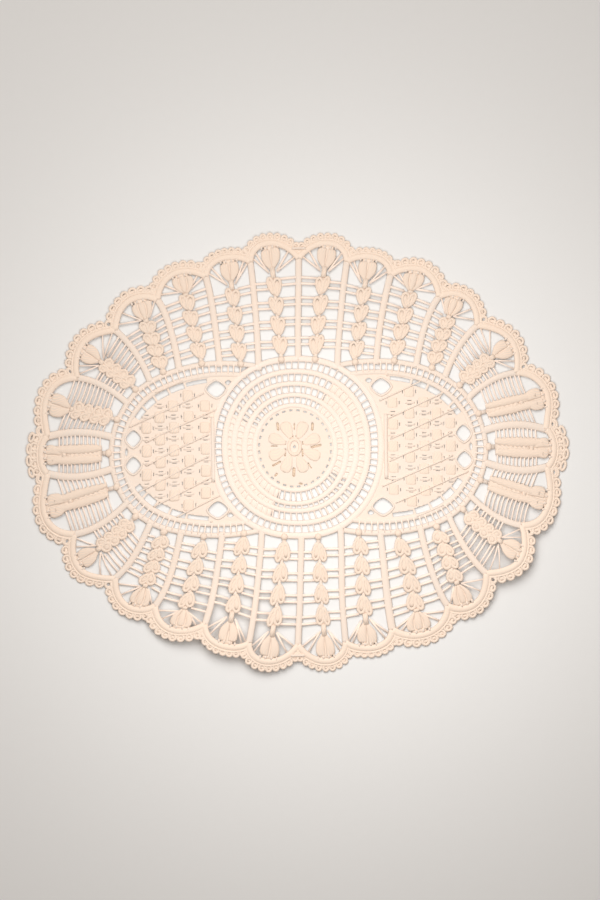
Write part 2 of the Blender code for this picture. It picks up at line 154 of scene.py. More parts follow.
# Where an ear's tulip ends before its first leaves and where its closed band and its
# stalk start after its last, as shares of the pitch of its leaves
TULIP_END, SPINE_END, STALK_START = 0.30, 0.35, 0.40
# Width of the closed band as a share of its ear's, and how far the stem starts before the
# leaves and ends before the frame
SPINE_SHARE, STEM_START, STEM_END = 0.62, 0.002, 0.006
# Knob at the ear's foot: half length, gap to the frame's cord, and its outline.
# Columns: share of the half length, share of the half width
KNOB_HALF, KNOB_GAP = 0.0024, 0.0010
KNOB = ((-1, 0.35), (-0.75, 0.75), (0, 1.0), (0.75, 0.75), (1, 0.35))

# Cross threads: how far apart a pair may be, as a share of the pitch, and how far the
# ends of a pair and of a comb reach into the ear
PAIR_SHARE, PAIR_INSET, COMB_INSET = 0.21, 0.0012, 0.0010
# A comb has nine threads from its first pair to its last, and two above them
COMB = range(-2, 9)
# Rays beside the tulip: where they end, as shares of the way from the arch's end to the
# ear's top, where they start before the first pair and beside the ear, and their width
RAYS = (0.10, 0.34)
RAY_START, RAY_ASIDE, RAY_SHARE = 0.62, 0.0030, 0.8

# Outline of the tulip at an ear's top. Columns: share of the way from crown to foot,
# share of its full half width
TULIP = (
    (0.00, 0.70),
    (0.07, 0.91),
    (0.20, 1.00),
    (0.40, 0.98),
    (0.58, 0.88),
    (0.72, 0.70),
    (0.86, 0.46),
    (1.00, 0.24),
)
# Half the width of its slits, how far it stands off the arch's cord, how far its petals
# stray, and how wide its cup is beside the petals
TULIP_SLIT, TULIP_GAP, TULIP_STRAY, CUP_SHARE = 0.0003, 0.0016, 0.0006, 0.85
# Where a tulip's petals meet, by their number, and where its bars to the arch stand
PETAL_EDGES = {2: (-1.0, 0.0, 1.0), 3: (-1.0, -0.36, 0.36, 1.0)}
TULIP_BARS = (-0.8, -0.28, 0.28, 0.8)
# How far the cup and the bars lap over the arch's cord, and how long a bar is
CUP_LAP, BAR_LAP, BAR_LENGTH = 0.0004, 0.0005, 0.0024

# Loops along the edge: how far they lap under the arch's cord, the widest row, and the
# share of the arch that is left free at each end
EDGE_LAP, WIDEST_ROW, EDGE_START = 0.0003, 0.0080, 0.012
# The low cords under the loops: how far out the foot lies, how much the bed is set in
FOOT_OUT, BED_INSET = 0.0008, 0.0016
# How far a loop laps over its row, and half the space to the next one
LOOP_LAP, LOOP_SPACE = 0.0004, 0.0007
# Outer row of loops at the tips: its inner side, share left free, pitch
TIP_ROW = (0.0066, 0.16, 0.0070)
# Loops grow from the arch's ends over this share of it, from this share of their growth
GROWTH, GROWN = 0.09, 0.42

# Where the thread lies across the valley between the two topmost scallops
VALLEY = [(x * 0.0018, 0.1458) for x in range(-3, 4)]

# Eye-shaped frame: outer cord as a curve with two handles, inner cord beside it
LOBE = ((0.0310, 0.0600), (0.0925, 0.0710), (0.1365, 0.0400), (0.1365, 0.0))
LOBE_GAP = 0.0080
# Where along it the inner cord and the ladder's bars start
INNER_START, LADDER_START = 0.03, 0.06

# Openings in each lobe's filling. Slits lie beside the frame's curve.
# Columns: start and end along the curve, width
SLITS = (
    (0.215, 0.325, 0.0030),
    (0.337, 0.425, 0.0044),
    (0.438, 0.525, 0.0050),
    (0.540, 0.630, 0.0050),
    (0.645, 0.735, 0.0046),
)
SLIT_OFFSET = 0.0119
# Where the columns of raised blocks stand, from the middle
COLUMNS = (0.0683, 0.0806, 0.0911, 0.1009, 0.1108)
# Clear distance that a block and a window keep to the frame's cord, and what both keep
# to the rosette and to an eyelet
BLOCK_CLEAR, WINDOW_CLEAR = 0.0180, 0.0168
RING_CLEAR, EYELET_CLEAR = 0.0040, 0.0030
# Slots above and below a window's middle, and on both sides of a block's.
# Columns: distance from the middle, width, height
WINDOW_SLOT = (0.0014, 0.0031, 0.0004)
BLOCK_SLOT = (0.0048, 0.0005, 0.0024)
# The first two have a worked rim. Columns: x, y, half width, half height
EYELETS = (
    (0.0600, 0.0436, 0.0070, 0.0058),
    (0.1206, 0.0088, 0.0054, 0.0054),
    (0.1256, 0.0, 0.0011, 0.0026),
    (0.0512, 0.0482, 0.0024, 0.0018),
)
# Half length of a window's dash, and how much of a slot's corner is cut
DASH_HALF, SLOT_CUT = 0.0036, 0.35
# The left lobe's blocks stand higher. Columns: side, height
BLOCK_RISES = ((-1, 0.0012), (1, 0.0009))
# Short cord beside the rosette: its x, and how far it reaches from the x axis
SIDE_CORD = (0.0630, 0.0235)
# Thin threads over the filling: their slant, where they begin, the distance between their
# points, where their height is measured, and what they keep to an eyelet and to the
# rosette, here as a share of its size
BRACE_SLANT = math.radians(24)
BRACE_START, BRACE_STEP, BRACE_MIDDLE = 0.055, 0.0007, 0.09
BRACE_CLEAR, BRACE_RING = 0.002, 1.05


class RingCord(NamedTuple):
    """One of the rosette's cords. It is wider at the sides, where the rings close up."""

    x: float
    y: float
    width: float       # half width of the ring
    height: float      # half height of the ring
    at_top: float      # width of the cord at the top
    at_sides: float    # width of the cord at the sides
    fullness: float    # of the ring's corners: 2 is an ellipse


# From outside in
RING_CORDS = tuple(RingCord(*row) for row in (
    (-0.0019, 0.0005, 0.0615, 0.0644, 0.0046, 0.0048, 2.23),
    (-0.0022, 0.0004, 0.0521, 0.0552, 0.0039, 0.0050, 2.18),
    (-0.0031, 0.0004, 0.0447, 0.0464, 0.0036, 0.0050, 2.12),
    (-0.0031, -0.0010, 0.0371, 0.0397, 0.0034, 0.0050, 2.05),
    (-0.0034, 0.0000, 0.0294, 0.0311, 0.0034, 0.0044, 2.0),
))
# Columns: outer cord, inner cord, bars, bar width at the top and at the sides
RING_LADDERS = (
    (0, 1, 78, 0.0008, 0.0009),
    (1, 2, 68, 0.0010, 0.0033),
    (2, 3, 60, 0.0010, 0.0031),
    (3, 4, 52, 0.0010, 0.0028),
)
# Petals of the flower, and the outline of each.
# Columns: distance from the hub, half width
PETALS = 8
PETAL = ((0.0066, 0.0006), (0.0078, 0.0019), (0.0105, 0.0031), (0.0135, 0.0042),
         (0.0165, 0.0045), (0.0188, 0.0035), (0.0200, 0.0010))
# How far a bar strays from its place, as a share of the pitch, and the spots between the
# two cords that it runs through
BAR_SHIFT, BAR_SPOTS = 0.12, (0.1, 0.4, 0.6, 0.9)
# Where the ladders close up: start and end direction of each stretch
CLOSED = ((math.radians(-32), math.radians(58)), (math.radians(152), math.radians(248)))
# Ring of short slits in the middle disc: middle x, y, half width, half height, slits,
# slit length, slit width
SLIT_RING = (-0.0034, -0.0004, 0.0262, 0.0280, 32, 0.0024, 0.0012)
# How far the cotton under a slit reaches beyond it, along it and across it. Its dark colour
# is painted shade
SLIT_FLOOR = (0.0004, 0.0005)
# The hub: its middle, and the half width and half height of its hole and of its ring
HUB = (-0.0038, 0.0006)
HUB_HOLE, HUB_RING = (0.0010, 0.0011), (0.0042, 0.0056)
# The flower's slits, measured from its hub.
# Columns: x, y, direction in degrees, length, width
FLOWER_SLITS = (
    (0.0000, 0.0150, 90, 0.0046, 0.0008),
    (-0.0118, 0.0150, 94, 0.0060, 0.0017),
    (0.0131, 0.0150, 86, 0.0060, 0.0018),
    (0.0156, 0.0006, 14, 0.0080, 0.0017),
    (0.0110, -0.0136, -60, 0.0050, 0.0008),
    (-0.0004, -0.0184, 88, 0.0068, 0.0020),
    (-0.0130, -0.0122, 28, 0.0072, 0.0014),
    (-0.0146, 0.0006, 0, 0.0048, 0.0007),
    (-0.0023, 0.0078, 4, 0.0032, 0.0015),
    (0.0023, 0.0078, -4, 0.0032, 0.0015),
    (-0.0066, -0.0042, 86, 0.0058, 0.0011),
    (0.0058, -0.0042, 94, 0.0058, 0.0011),
    (-0.0064, 0.0028, 80, 0.0026, 0.0009),
    (0.0060, 0.0028, 100, 0.0026, 0.0009),
    (-0.0030, -0.0098, -20, 0.0026, 0.0006),
    (0.0030, -0.0098, 20, 0.0026, 0.0006),
    (-0.0134, -0.0202, 50, 0.0030, 0.0014),
    (0.0044, -0.0268, -10, 0.0026, 0.0013),
)

# How the soft cloth lies: its middle is shifted and turned, its rim strays.
CORE_SHIFT = (0.0012, 0.0034)
CORE_TURN = math.radians(0.95)
RIM = (0.198, 0.157)
CORE_SHARE = 0.35
# Soft noise that moves the lace along x and y, and lifts it.
# Columns: waves per metre, layer
STRAY = ((24, 3.1), (24, 9.3))
PUCKER = (30, 7.7)
# Columns: direction in degrees, shift of the rim in x, in y
RIM_DRIFT = (
    (0, 0.0000, 0.0035),
    (6, -0.0020, 0.0070),
    (14, -0.0020, 0.0060),
    (20, 0.0000, 0.0060),
    (48, 0.0005, 0.0055),
    (55, -0.0005, 0.0060),
    (62, -0.0020, 0.0045),
    (74, 0.0000, 0.0030),
    (90, 0.0010, 0.0030),
    (118, 0.0020, 0.0030),
    (133, 0.0000, 0.0040),
    (146, -0.0030, 0.0025),
    (160, -0.0020, 0.0030),
    (167, 0.0000, 0.0020),
    (174, 0.0000, 0.0015),
    (187, -0.0005, -0.0060),
    (200, -0.0040, -0.0090),
    (208, -0.0055, -0.0080),
    (214, -0.0035, -0.0055),
    (227, -0.0020, -0.0045),
    (241, 0.0015, 0.0005),
    (254, 0.0005, -0.0025),
    (270, 0.0000, -0.0020),
    (288, -0.0020, -0.0030),
    (298, -0.0010, -0.0055),
    (312, 0.0070, -0.0050),
    (325, 0.0065, -0.0015),
    (333, 0.0060, -0.0020),
    (340, 0.0035, -0.0015),
    (347, -0.0005, -0.0010),
    (354, 0.0000, -0.0005),
)

# Stretches of the rim that lift off the table.
# Columns: direction, half spread of the direction, height at the rim
LIFTS = (
    (math.radians(-109), math.radians(27), 0.0090),
    (math.radians(-32), math.radians(24), 0.0080),
)
LIFT_START = 0.52

# Mirror signs of the copies of a part: in each quarter, and across either axis
QUARTERS = ((1, 1), (-1, 1), (-1, -1), (1, -1))
HALVES = ((1, 1), (-1, 1))
UPRIGHT = ((1, 1), (1, -1))
# How far each copy strays: edge loops, cross threads, bars and blocks
EDGE_STRAY, THREAD_STRAY, BAR_STRAY = 0.00015, 0.0002, 0.0003
SEED = 11

# Finishes, in the order of each piece's materials. The sixth is the painted shade under the
# flower's slits
CORD, LEAF, CLOTH, THREAD, EDGE, SLIT_SHADE, RING = range(7)
# Sides of a strand's section: a thread, a cord, a petal
FINE, ROUND, FULL = 6, 8, 10
# Powers that square a strand's section and draw out an eyelet's ends
SQUARE, DRAWN = 0.7, 1.4
# How much higher an arch's cord is than the others
ARCH_RISE = 0.0002
# Distance between the points of a long cord, and of a ring's cord
CORD_STEP, RING_STEP = 0.0016, 0.0018

# Kinds of strand. Columns: half width, height, height of the underside, finish, sides of
# the section. None is given where the strand is worked.
KINDS = {
    "rib": (None, None, 0.0, CORD, ROUND),
    "valley": (None, None, 0.0005, CORD, ROUND),
    "arch": (None, None, 0.0, EDGE, ROUND),
    "edge foot": (0.0009, 0.0014, 0.0001, EDGE, FINE),
    "edge bed": (None, 0.0009, 0.0001, EDGE, FINE),
    "edge loop": (None, 0.0013, 0.0001, EDGE, FINE),
    "tulip cup": (None, 0.0010, 0.0002, EDGE, ROUND),
    "tulip petal": (None, None, 0.0003, LEAF, FULL),
    "tulip bar": (0.0008, 0.0012, 0.0006, CORD, FINE),
    "tulip neck": (0.0019, 0.0016, 0.0003, LEAF, ROUND),
    "ear stem": (0.0014, None, 0.0001, CORD, FINE),
    "ear spine": (None, 0.0012, 0.0001, LEAF, ROUND),
    "ear stalk": (0.0016, 0.0013, 0.0002, CORD, FINE),
    "ear knob": (None, None, 0.0004, LEAF, ROUND),
    "long band": (None, 0.0018, 0.0002, LEAF, ROUND),
    "leaf rim": (None, None, 0.0003, LEAF, ROUND),
    "leaf filling": (None, None, 0.0004, LEAF, ROUND),
    "thread": (None, None, None, THREAD, FINE),
    "frame cord": (None, None, 0.0, CORD, ROUND),
    "frame bar": (None, None, 0.0006, THREAD, FINE),
    "block": (None, None, 0.0005, LEAF, FULL),
    "dash": (0.0007, 0.0010, 0.0005, CORD, FINE),
    "eyelet rim": (0.0008, 0.0012, 0.0006, CORD, FINE),
    "brace": (0.0005, 0.0013, 0.0008, CORD, FINE),
    "side cord": (0.0014, 0.0020, 0.0004, CORD, ROUND),
    "ring cord": (None, None, 0.0, RING, ROUND),
    "ladder bed": (None, 0.0009, 0.0001, RING, FINE),
    "ring bar": (None, 0.0010, 0.0003, RING, FINE),
    # The cotton under the flower's slits is dark with painted shade
    "slit floor": (None, 0.0003, 0.0, SLIT_SHADE, FINE),
    "petal": (None, 0.0005, 0.0008, LEAF, FULL),
    "hub": (0.0012, 0.0010, 0.0009, LEAF, ROUND),
}

# Cotton: how fine its fibres are and its patches of tone, in waves per metre, and how
# much the fibres roughen the grooves
FIBRES, PATCHES, FUZZ = 2600.0, 38.0, 0.35

# Lights. Columns: place, place it faces, size, tint
WINDOW = ((-0.6, 2.1, 2.9), (0, 0, 0), 2.4, (1.0, 0.99, 0.965))
OVERHEAD = ((0.022, -0.02, 0.30), (0.022, -0.02, 0), 0.3, (0.985, 1.0, 1.0))
SKY_TINT = (1.0, 0.90, 0.81, 1.0)


# Sizes and colours -----------------------------------------------------------------

def length(name, description, default):
    return FloatProperty(name=name, description=description, default=default,
                         min=0.0, subtype="DISTANCE", unit="LENGTH")


def colour(name, description, default):
    return FloatVectorProperty(name=name, description=description, default=default,
                               size=3, min=0.0, max=1.0, subtype="COLOR")


class LaceStrands(bpy.types.PropertyGroup):
    """Widths and heights of the strands."""

    rib_width: length("Rib width", "Width of the ribs between the fingers", 0.0048)
    arch_width: length("Arch width", "Width of the cord along each scallop", 0.0046)
    frame_width: length("Frame width", "Width of the cords of the eye-shaped frame", 0.0037)
    cord_height: length("Cord height", "Height of the thick cords", 0.0016)
    leaf_width: length("Leaf strand width", "Width of the strand round a leaf", 0.0023)
    leaf_height: length("Leaf height", "Height of leaves and petals", 0.0015)
    thread_width: length("Thread width", "Width of the single cross threads", 0.0019)
    thread_height: length("Thread height", "Height of the single cross threads", 0.0009)
    thread_rise: length("Thread rise", "How high the cross threads hang", 0.0004)
    knob_half: length("Knob", "Half width of the knob at an ear's foot", 0.0026)
    stem_height: length("Stem height", "Height of the low stem of an ear", 0.0008)
    bar_width: length("Bar width", "Width of the short bars of the ladders", 0.0011)
    pair_gap: length("Pair gap", "Distance between the two threads of a pair", 0.0046)
    bar_pitch: length("Bar pitch", "Distance between the bars of the frame", 0.0044)


class LaceCloth(bpy.types.PropertyGroup):
    """Sizes of the dense cloth in the middle."""

    thickness: length("Cloth thickness", "Thickness of the dense cloth", 0.0008)
    rise: length("Cloth height", "Height of the dense cloth's upper face", 0.0011)
    spacing: length("Point spacing", "Distance between the points of the cloth", 0.0015)
    rows: IntProperty(name="Rows", description="Half rows of blocks above the axis",
                      default=7, min=1)
    row_pitch: length("Row pitch", "Distance between half rows of blocks", 0.0079)
    block_width: length("Block width", "Width of a raised block", 0.0074)
    block_height: length("Block length", "Length of a raised block", 0.0086)
    wobble: length("Wobble", "How far the lace strays from its drawn lines", 0.0006)
    pucker: length("Pucker", "Height of the soft unevenness", 0.0007)


class LaceLook(bpy.types.PropertyGroup):
    """Colours and surface of the cotton."""

    light: colour("Light ecru", "Colour of the upper cotton", (0.706, 0.636, 0.578))
    dense: colour("Dense ecru", "Colour of leaves and petals", (0.702, 0.592, 0.503))
    edge: colour("Edge ecru", "Colour of the scalloped edge", (0.785, 0.662, 0.562))
    ring: colour("Ring ecru", "Colour of the rosette's rings", (0.790, 0.705, 0.650))
    # Painted shade: the dark colour of the low cotton under the flower's slits stands in for
    # the shade that falls in them
    shaded: colour("Shaded ecru", "Colour of the cotton seen through the flower's slits",
                   (0.50, 0.39, 0.27))
    pale: colour("Pale ecru", "Colour of the single threads", (0.90, 0.77, 0.69))
    # Painted shade: the colour the grooves between the threads take where shade falls in
    # them; the random patches of tone also lean towards it
    groove_shade_and_tone: colour("Deep ecru", "Colour between the threads", (0.85, 0.64, 0.50))
    roughness: FloatProperty(name="Roughness", description="Roughness of the cotton",
                             default=0.85, min=0.0, max=1.0, subtype="FACTOR")
    sheen: FloatProperty(name="Sheen", description="Soft shine of the fibres",
                         default=0.25, min=0.0, max=1.0, subtype="FACTOR")
    ply_pitch: length("Ply pitch", "Distance between two turns of a cord's wrap", 0.0010)
    weave_pitch: length("Weave pitch", "Distance between two threads of the cloth", 0.0009)
    relief: length("Thread relief", "Height of the thread grooves", 0.00012)


class LaceStage(bpy.types.PropertyGroup):
    """Floor, lights and camera."""

    floor: colour("Floor", "Colour of the floor", (0.735, 0.722, 0.712))
    floor_half: length("Floor half", "Half the side of the floor", 3.0)
    camera_height: length("Camera height", "Height of the camera above the table", 0.95)
    view_height: length("View height", "Length of table from top to bottom of the view",
                        0.657)
    camera_x: length("Camera x", "Distance of the camera to the right of the middle",
                     0.0015)
    camera_y: length("Camera y", "Distance of the camera beyond the middle", 0.0018)
    key_power: FloatProperty(name="Key light", description="Power of the window light",
                             default=78.0, min=0.0, unit="POWER")
    top_power: FloatProperty(name="Top light", description="Power of the overhead light",
                             default=0.81, min=0.0, unit="POWER")
    sky: FloatProperty(name="Sky", description="Strength of the even light",
                       default=0.275, min=0.0)


# Layout ----------------------------------------------------------------------------

def mix(a, b, t):
    return (a[0] + (b[0] - a[0]) * t, a[1] + (b[1] - a[1]) * t)


def toward(a, b, distance):
    return mix(a, b, distance / math.dist(a, b))


def bezier(p0, p1, p2, p3, t):
    a, b, c = mix(p0, p1, t), mix(p1, p2, t), mix(p2, p3, t)
    return mix(mix(a, b, t), mix(b, c, t), t)


def parabola(start, middle, end, share, t):
    """Point at t of the parabola from start to end that passes middle at share."""
    rest = 1 - share
    handle = [(m - rest * rest * a - share * share * b) / (2 * rest * share)
              for a, m, b in zip(start, middle, end)]
    return mix(mix(start, handle, t), mix(handle, end, t), t)


def heading(curve, t):
    a, b = curve(t - 0.001), curve(t + 0.001)
    return ((b[0] - a[0]) / math.dist(a, b), (b[1] - a[1]) / math.dist(a, b))


def beside(curve, t, distance):
    """Point of a curve at t, moved to its left."""
    x, y = curve(t)
    hx, hy = heading(curve, t)
    return (x - hy * distance, y + hx * distance)


def smooth(t):
    t = min(max(t, 0), 1)
    return t * t * (3 - 2 * t)


def rib(k, t):
    """Point of rib k, from 0 at its outer end to 1 at the frame."""
    row = RIBS[min(k, LAST_RIB)]
    x, y = parabola(row[0:2], row[2:4], row[4:6], 0.5, t)
    return (x, y) if k <= LAST_RIB else (x, -y)


def arch(k, t):
    return bezier(rib(k, 0), FINGERS[k].leave, FINGERS[k].arrive, rib(k + 1, 0), t)


def ear(k, t):
    """Point of the middle line of finger k's ear, from the arch to the frame."""
    top = arch(k, FINGERS[k].top)
    middle = mix(rib(k, 0.5), rib(k + 1, 0.5), FINGERS[k].middle)
    end = mix(rib(k, 1), rib(k + 1, 1), FINGERS[k].foot)
    upper, lower = math.dist(top, middle), math.dist(middle, end)
    return parabola(top, middle, end, upper / (upper + lower), t)


def ear_length(k):
    steps = 8
    return sum(math.dist(ear(k, i / steps), ear(k, (i + 1) / steps)) for i in range(steps))


def ear_start(k):
    """Where along the ear its ribs begin."""
    return math.dist(ear(k, 0), mix(rib(k, 0), rib(k + 1, 0), 0.5)) / ear_length(k)


def ear_at(k, level):
    """Ear parameter of a level, 0 where the ribs begin and 1 at the frame."""
    return ear_start(k) + (1 - ear_start(k)) * level


def pair_levels(k):
    pairs, (first, last) = EARS[k].pairs, FINGERS[k].levels
    return [first + (last - first) * j / (pairs - 1) for j in range(pairs)]


def ear_spot(k, along, aside=0.0):
    """Point of the ear at a distance from the arch, moved to the ear's left."""
    return beside(lambda t: ear(k, t), along / ear_length(k), aside)


def ear_stretch(k, start, run, steps, aside=0.0):
    """Even points along the ear, over a run that starts at a distance from the arch."""
    return [ear_spot(k, start + run * i / steps, aside) for i in range(steps + 1)]


def ear_half(k, level):
    """Half width of the ear, widest at the thread pairs."""
    levels = pair_levels(k)
    turns = (level - levels[0]) / (levels[1] - levels[0])
    return EARS[k].half * (1 - (1 - NECK_SHARE) * abs(turns - round(turns)) * 2)


def across(k, side, level, inset):
    """A thread's ends at this level: on rib k + side, and on the ear."""
    away = 1 if side == 0 else -1
    step = SIDE_STEP / ear_length(k) if k < LAST_RIB else 0.0
    u = ear_at(k, level) - step * away
    x, y = ear(k, u)
    hx, hy = heading(lambda t: ear(k, t), u)
    outer, inner = (math.radians(slant) for slant in FINGERS[k].slants)
    turn = math.radians(90) * away - (outer + (inner - outer) * level)
    dx = hx * math.cos(turn) - hy * math.sin(turn)
    dy = hx * math.sin(turn) + hy * math.cos(turn)

    def off_line(t):
        px, py = rib(k + side, t)
        return (px - x) * dy - (py - y) * dx

    # Halves the stretch of the rib that the thread's line crosses
    low, high = -0.3, 1.3
    rising = off_line(low) > 0
    for _ in range(30):
        t = (low + high) / 2
        low, high = (t, high) if (off_line(t) > 0) == rising else (low, t)
    at_rib = rib(k + side, low)
    return at_rib, toward((x, y), at_rib, ear_half(k, level) - inset)


def lobe(t):
    return bezier(*LOBE, t)


def inner_lobe(t):
    return beside(lobe, t, -LOBE_GAP)


def ellipse(width, height, count, x=0.0, y=0.0):
    angles = [math.tau * i / count for i in range(count)]
    return [(x + width * math.cos(a), y + height * math.sin(a)) for a in angles]


def diamond(width, height, count, x=0.0, y=0.0):
    """A loop like an ellipse that is drawn out at its four ends."""
    spots = []
    for i in range(count):
        c, n = math.cos(math.tau * i / count), math.sin(math.tau * i / count)
        spots.append((x + width * math.copysign(abs(c) ** DRAWN, c),
                      y + height * math.copysign(abs(n) ** DRAWN, n)))
    return spots


def walk(curve, step, start=0.0, end=1.0):
    """Points of a curve at even distances, and their parameters."""
    fine = 120
    params = [start + (end - start) * i / fine for i in range(fine + 1)]
    run = [0.0]
    for a, b in zip(params, params[1:]):
        run.append(run[-1] + math.dist(curve(a), curve(b)))
    count = max(1, round(run[-1] / step))
    found, at = [], 0
    for i in range(count + 1):
        goal = run[-1] * i / count
        while at < fine - 1 and run[at + 1] < goal:
            at += 1
        share = (goal - run[at]) / (run[at + 1] - run[at])
        found.append(params[at] + (params[at + 1] - params[at]) * share)
    return [curve(t) for t in found], found


def teardrop(tip, crown, half, count):
    """Closed drop, round at its crown and pointed at its tip."""
    turns = [math.tau * i / count for i in range(count)]
    swell = [math.sin(a) * math.sin(a / 2) ** LEAF_POINT for a in turns]
    ax, ay = crown[0] - tip[0], crown[1] - tip[1]
    scale = half / max(swell) / math.hypot(ax, ay)
    drop = []
    for turn, out in zip(turns, swell):
        s = (1 - math.cos(turn)) / 2
        drop.append((tip[0] + ax * s - ay * out * scale,
                     tip[1] + ay * s + ax * out * scale))
    return drop


def both_sides(upper):
    """A line above the x axis, carried on below it as in a mirror."""
    return upper + [(x, -y) for x, y in upper[-2::-1]]


def copies(off_axis):
    """The copies of a part: four, or two where it lies across the x axis."""
    return QUARTERS if off_axis else HALVES


def blunt(share):
    """Squares a round section a little, as worked thread lies."""
    return math.copysign(abs(share) ** SQUARE, share)


def inside(point, loop):
    """Whether a point lies in a closed loop."""
    x, y = point
    result = False
    for (ax, ay), (bx, by) in zip(loop, loop[1:] + loop[:1]):
        if (ay > y) != (by > y) and x < ax + (bx - ax) * (y - ay) / (by - ay):
            result = not result
    return result


def lift(x, y):
    """Height of the lace's underside. The rim rises in a few soft stretches."""
    out = math.hypot(x / RIM[0], y / RIM[1])
    direction = math.atan2(y / RIM[1], x / RIM[0])
    height = 0.0
    for middle, spread, rise in LIFTS:
        turn = abs(math.remainder(direction - middle, math.tau)) / spread
        height += rise * smooth((out - LIFT_START) / (1 - LIFT_START)) * smooth(1 - turn)
    return height


def drift(x, y):
    """Where a drawn point comes to lie."""
    degrees = math.degrees(math.atan2(y, x)) % 360
    after = next((i for i, row in enumerate(RIM_DRIFT) if row[0] > degrees), 0)
    a, b = RIM_DRIFT[after - 1], RIM_DRIFT[after]
    rim = mix(a[1:], b[1:], (degrees - a[0]) / ((b[0] - a[0]) % 360))
    core = (CORE_SHIFT[0] - y * CORE_TURN, CORE_SHIFT[1] + x * CORE_TURN)
    out = math.hypot(x / RIM[0], y / RIM[1])
    dx, dy = mix(core, rim, smooth((out - CORE_SHARE) / (1 - CORE_SHARE)))
    return x + dx, y + dy


def settle(point, cloth):
    """Moves a drawn point as soft cloth lies: a little astray, puckered and lifted."""
    x, y = drift(*point[:2])
    z = point[2]

    def soft(waves, layer):
        return noise.noise(Vector((x * waves, y * waves, layer)))

    dx, dy = (soft(*wave) * cloth.wobble for wave in STRAY)
    pucker = (soft(*PUCKER) + 0.5) * cloth.pucker
    return (x + dx, y + dy, z + max(pucker, 0.0) + lift(x, y))


# Strands ---------------------------------------------------------------------------

class Strand(NamedTuple):
    """A flat line to sweep: half width and height at each point, and its underside.

    When other is given, line and other are the strand's two edges.
    """

    line: list
    half: object
    high: object
    base: float
    finish: int
    sides: int
    closed: bool = False
    other: list = None

    def placed(self, sx, sy, dx, dy):
        """A copy, mirrored by its signs and moved."""
        line = [(x * sx + dx, y * sy + dy) for x, y in self.line]
        other = self.other and [(x * sx + dx, y * sy + dy) for x, y in self.other]
        return self._replace(line=line, other=other)

    def edges(self):
        """The two edges of the strand."""
        if self.other:
            return self.line, self.other
        count = len(self.line)
        halves = self.half if isinstance(self.half, list) else [self.half] * count
        left, right = [], []
        for i, (x, y) in enumerate(self.line):
            before = self.line[i - 1] if self.closed or i else self.line[0]
            after = self.line[(i + 1) % count] if self.closed or i < count - 1 \
                else self.line[-1]
            share = halves[i] / math.dist(before, after)
            dx, dy = (before[1] - after[1]) * share, (after[0] - before[0]) * share
            left.append((x - dx, y - dy))
            right.append((x + dx, y + dy))
        return left, right


def worked(kind, line, **given):
    """A strand of one kind along a line. given is what the table leaves open."""
    row = dict(zip(("half", "high", "base", "finish", "sides"), KINDS[kind]))
    return Strand(line, **{**row, **given})


class Lacework:
    """Gathers the strands of one piece: points, faces, thread coordinates, finishes."""

    def __init__(self):
        self.points = []
        self.faces = []
        self.coords = []
        self.finishes = []

    def sweep(self, strand):
        """Adds the strand's skin, ring by ring."""
        sides = strand.sides
        left, right = strand.edges()
        middle = [mix(a, b, 0.5) for a, b in zip(left, right)]
        count = len(middle)
        highs = strand.high if isinstance(strand.high, list) else [strand.high] * count
        first = len(self.points)
        run = [0.0]
        for a, b in zip(middle, middle[1:] + middle[:1]):
            run.append(run[-1] + math.dist(a, b))
        for i in range(count):
            for j in range(sides):
                turn = math.tau * j / sides - math.pi / 2
                x, y = mix(middle[i], right[i], blunt(math.cos(turn)))
                rise = strand.base + highs[i] * (1 + blunt(math.sin(turn))) / 2
                self.points.append((x, y, rise))
        girth = [math.pi * (math.dist(a, b) + c) / 2 for a, b, c in zip(left, right, highs)]
        for i in range(count if strand.closed else count - 1):
            after = (i + 1) % count
            for j in range(sides):
                turn = (j + 1) % sides
                self.faces.append((first + i * sides + j, first + i * sides + turn,
                                   first + after * sides + turn, first + after * sides + j))
                self.coords += [(run[i], girth[i] * j / sides),
                                (run[i], girth[i] * (j + 1) / sides),
                                (run[i + 1], girth[after] * (j + 1) / sides),
                                (run[i + 1], girth[after] * j / sides)]
                self.finishes.append(strand.finish)
        if not strand.closed:
            last = first + (count - 1) * sides
            self.cap([first + j for j in reversed(range(sides))], strand.finish)
            self.cap([last + j for j in range(sides)], strand.finish)

    def cap(self, corners, finish):
        """Closes one end of a strand."""
        self.faces.append(tuple(corners))
        self.coords += [(0.0, 0.0)] * len(corners)
        self.finishes.append(finish)

    def lay(self, strands, quarters, rng=None, stray=0.0):
        """Sweeps strands in each quarter, every copy a little different."""
        for sx, sy in quarters:
            for strand in strands:
                dx = rng.uniform(-stray, stray) if rng else 0.0
                dy = rng.uniform(-stray, stray) if rng else 0.0
                self.sweep(strand.placed(sx, sy, dx, dy))

    def piece(self, name, scene):
        """Lays what was gathered as one piece of the scene's cloth."""
        points = [settle(p, scene.lace_cloth) for p in self.points]
        finishes = cotton_finishes(scene.lace_look)
        mesh_piece(name, points, self.faces, self.coords, finishes, self.finishes)


def mesh_piece(name, points, faces, coords, materials, finishes=()):
    """An object that replaces the solid. coords are thread coordinates of the corners."""
    mesh = bpy.data.meshes.new(name)
    mesh.from_pydata(points, [], faces)
    layer = mesh.uv_layers.new(name="thread")
    layer.data.foreach_set("uv", [c for pair in coords for c in pair])
    mesh.polygons.foreach_set("use_smooth", [True] * len(mesh.polygons))
    if finishes:
        mesh.polygons.foreach_set("material_index", finishes)
    for material in materials:
        mesh.materials.append(material)
    mesh.update()
    piece = bpy.data.objects.new(name, mesh)
    bpy.context.scene.collection.objects.link(piece)
    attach(piece, "root")
    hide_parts(NODE)
    return piece


# Materials -------------------------------------------------------------------------

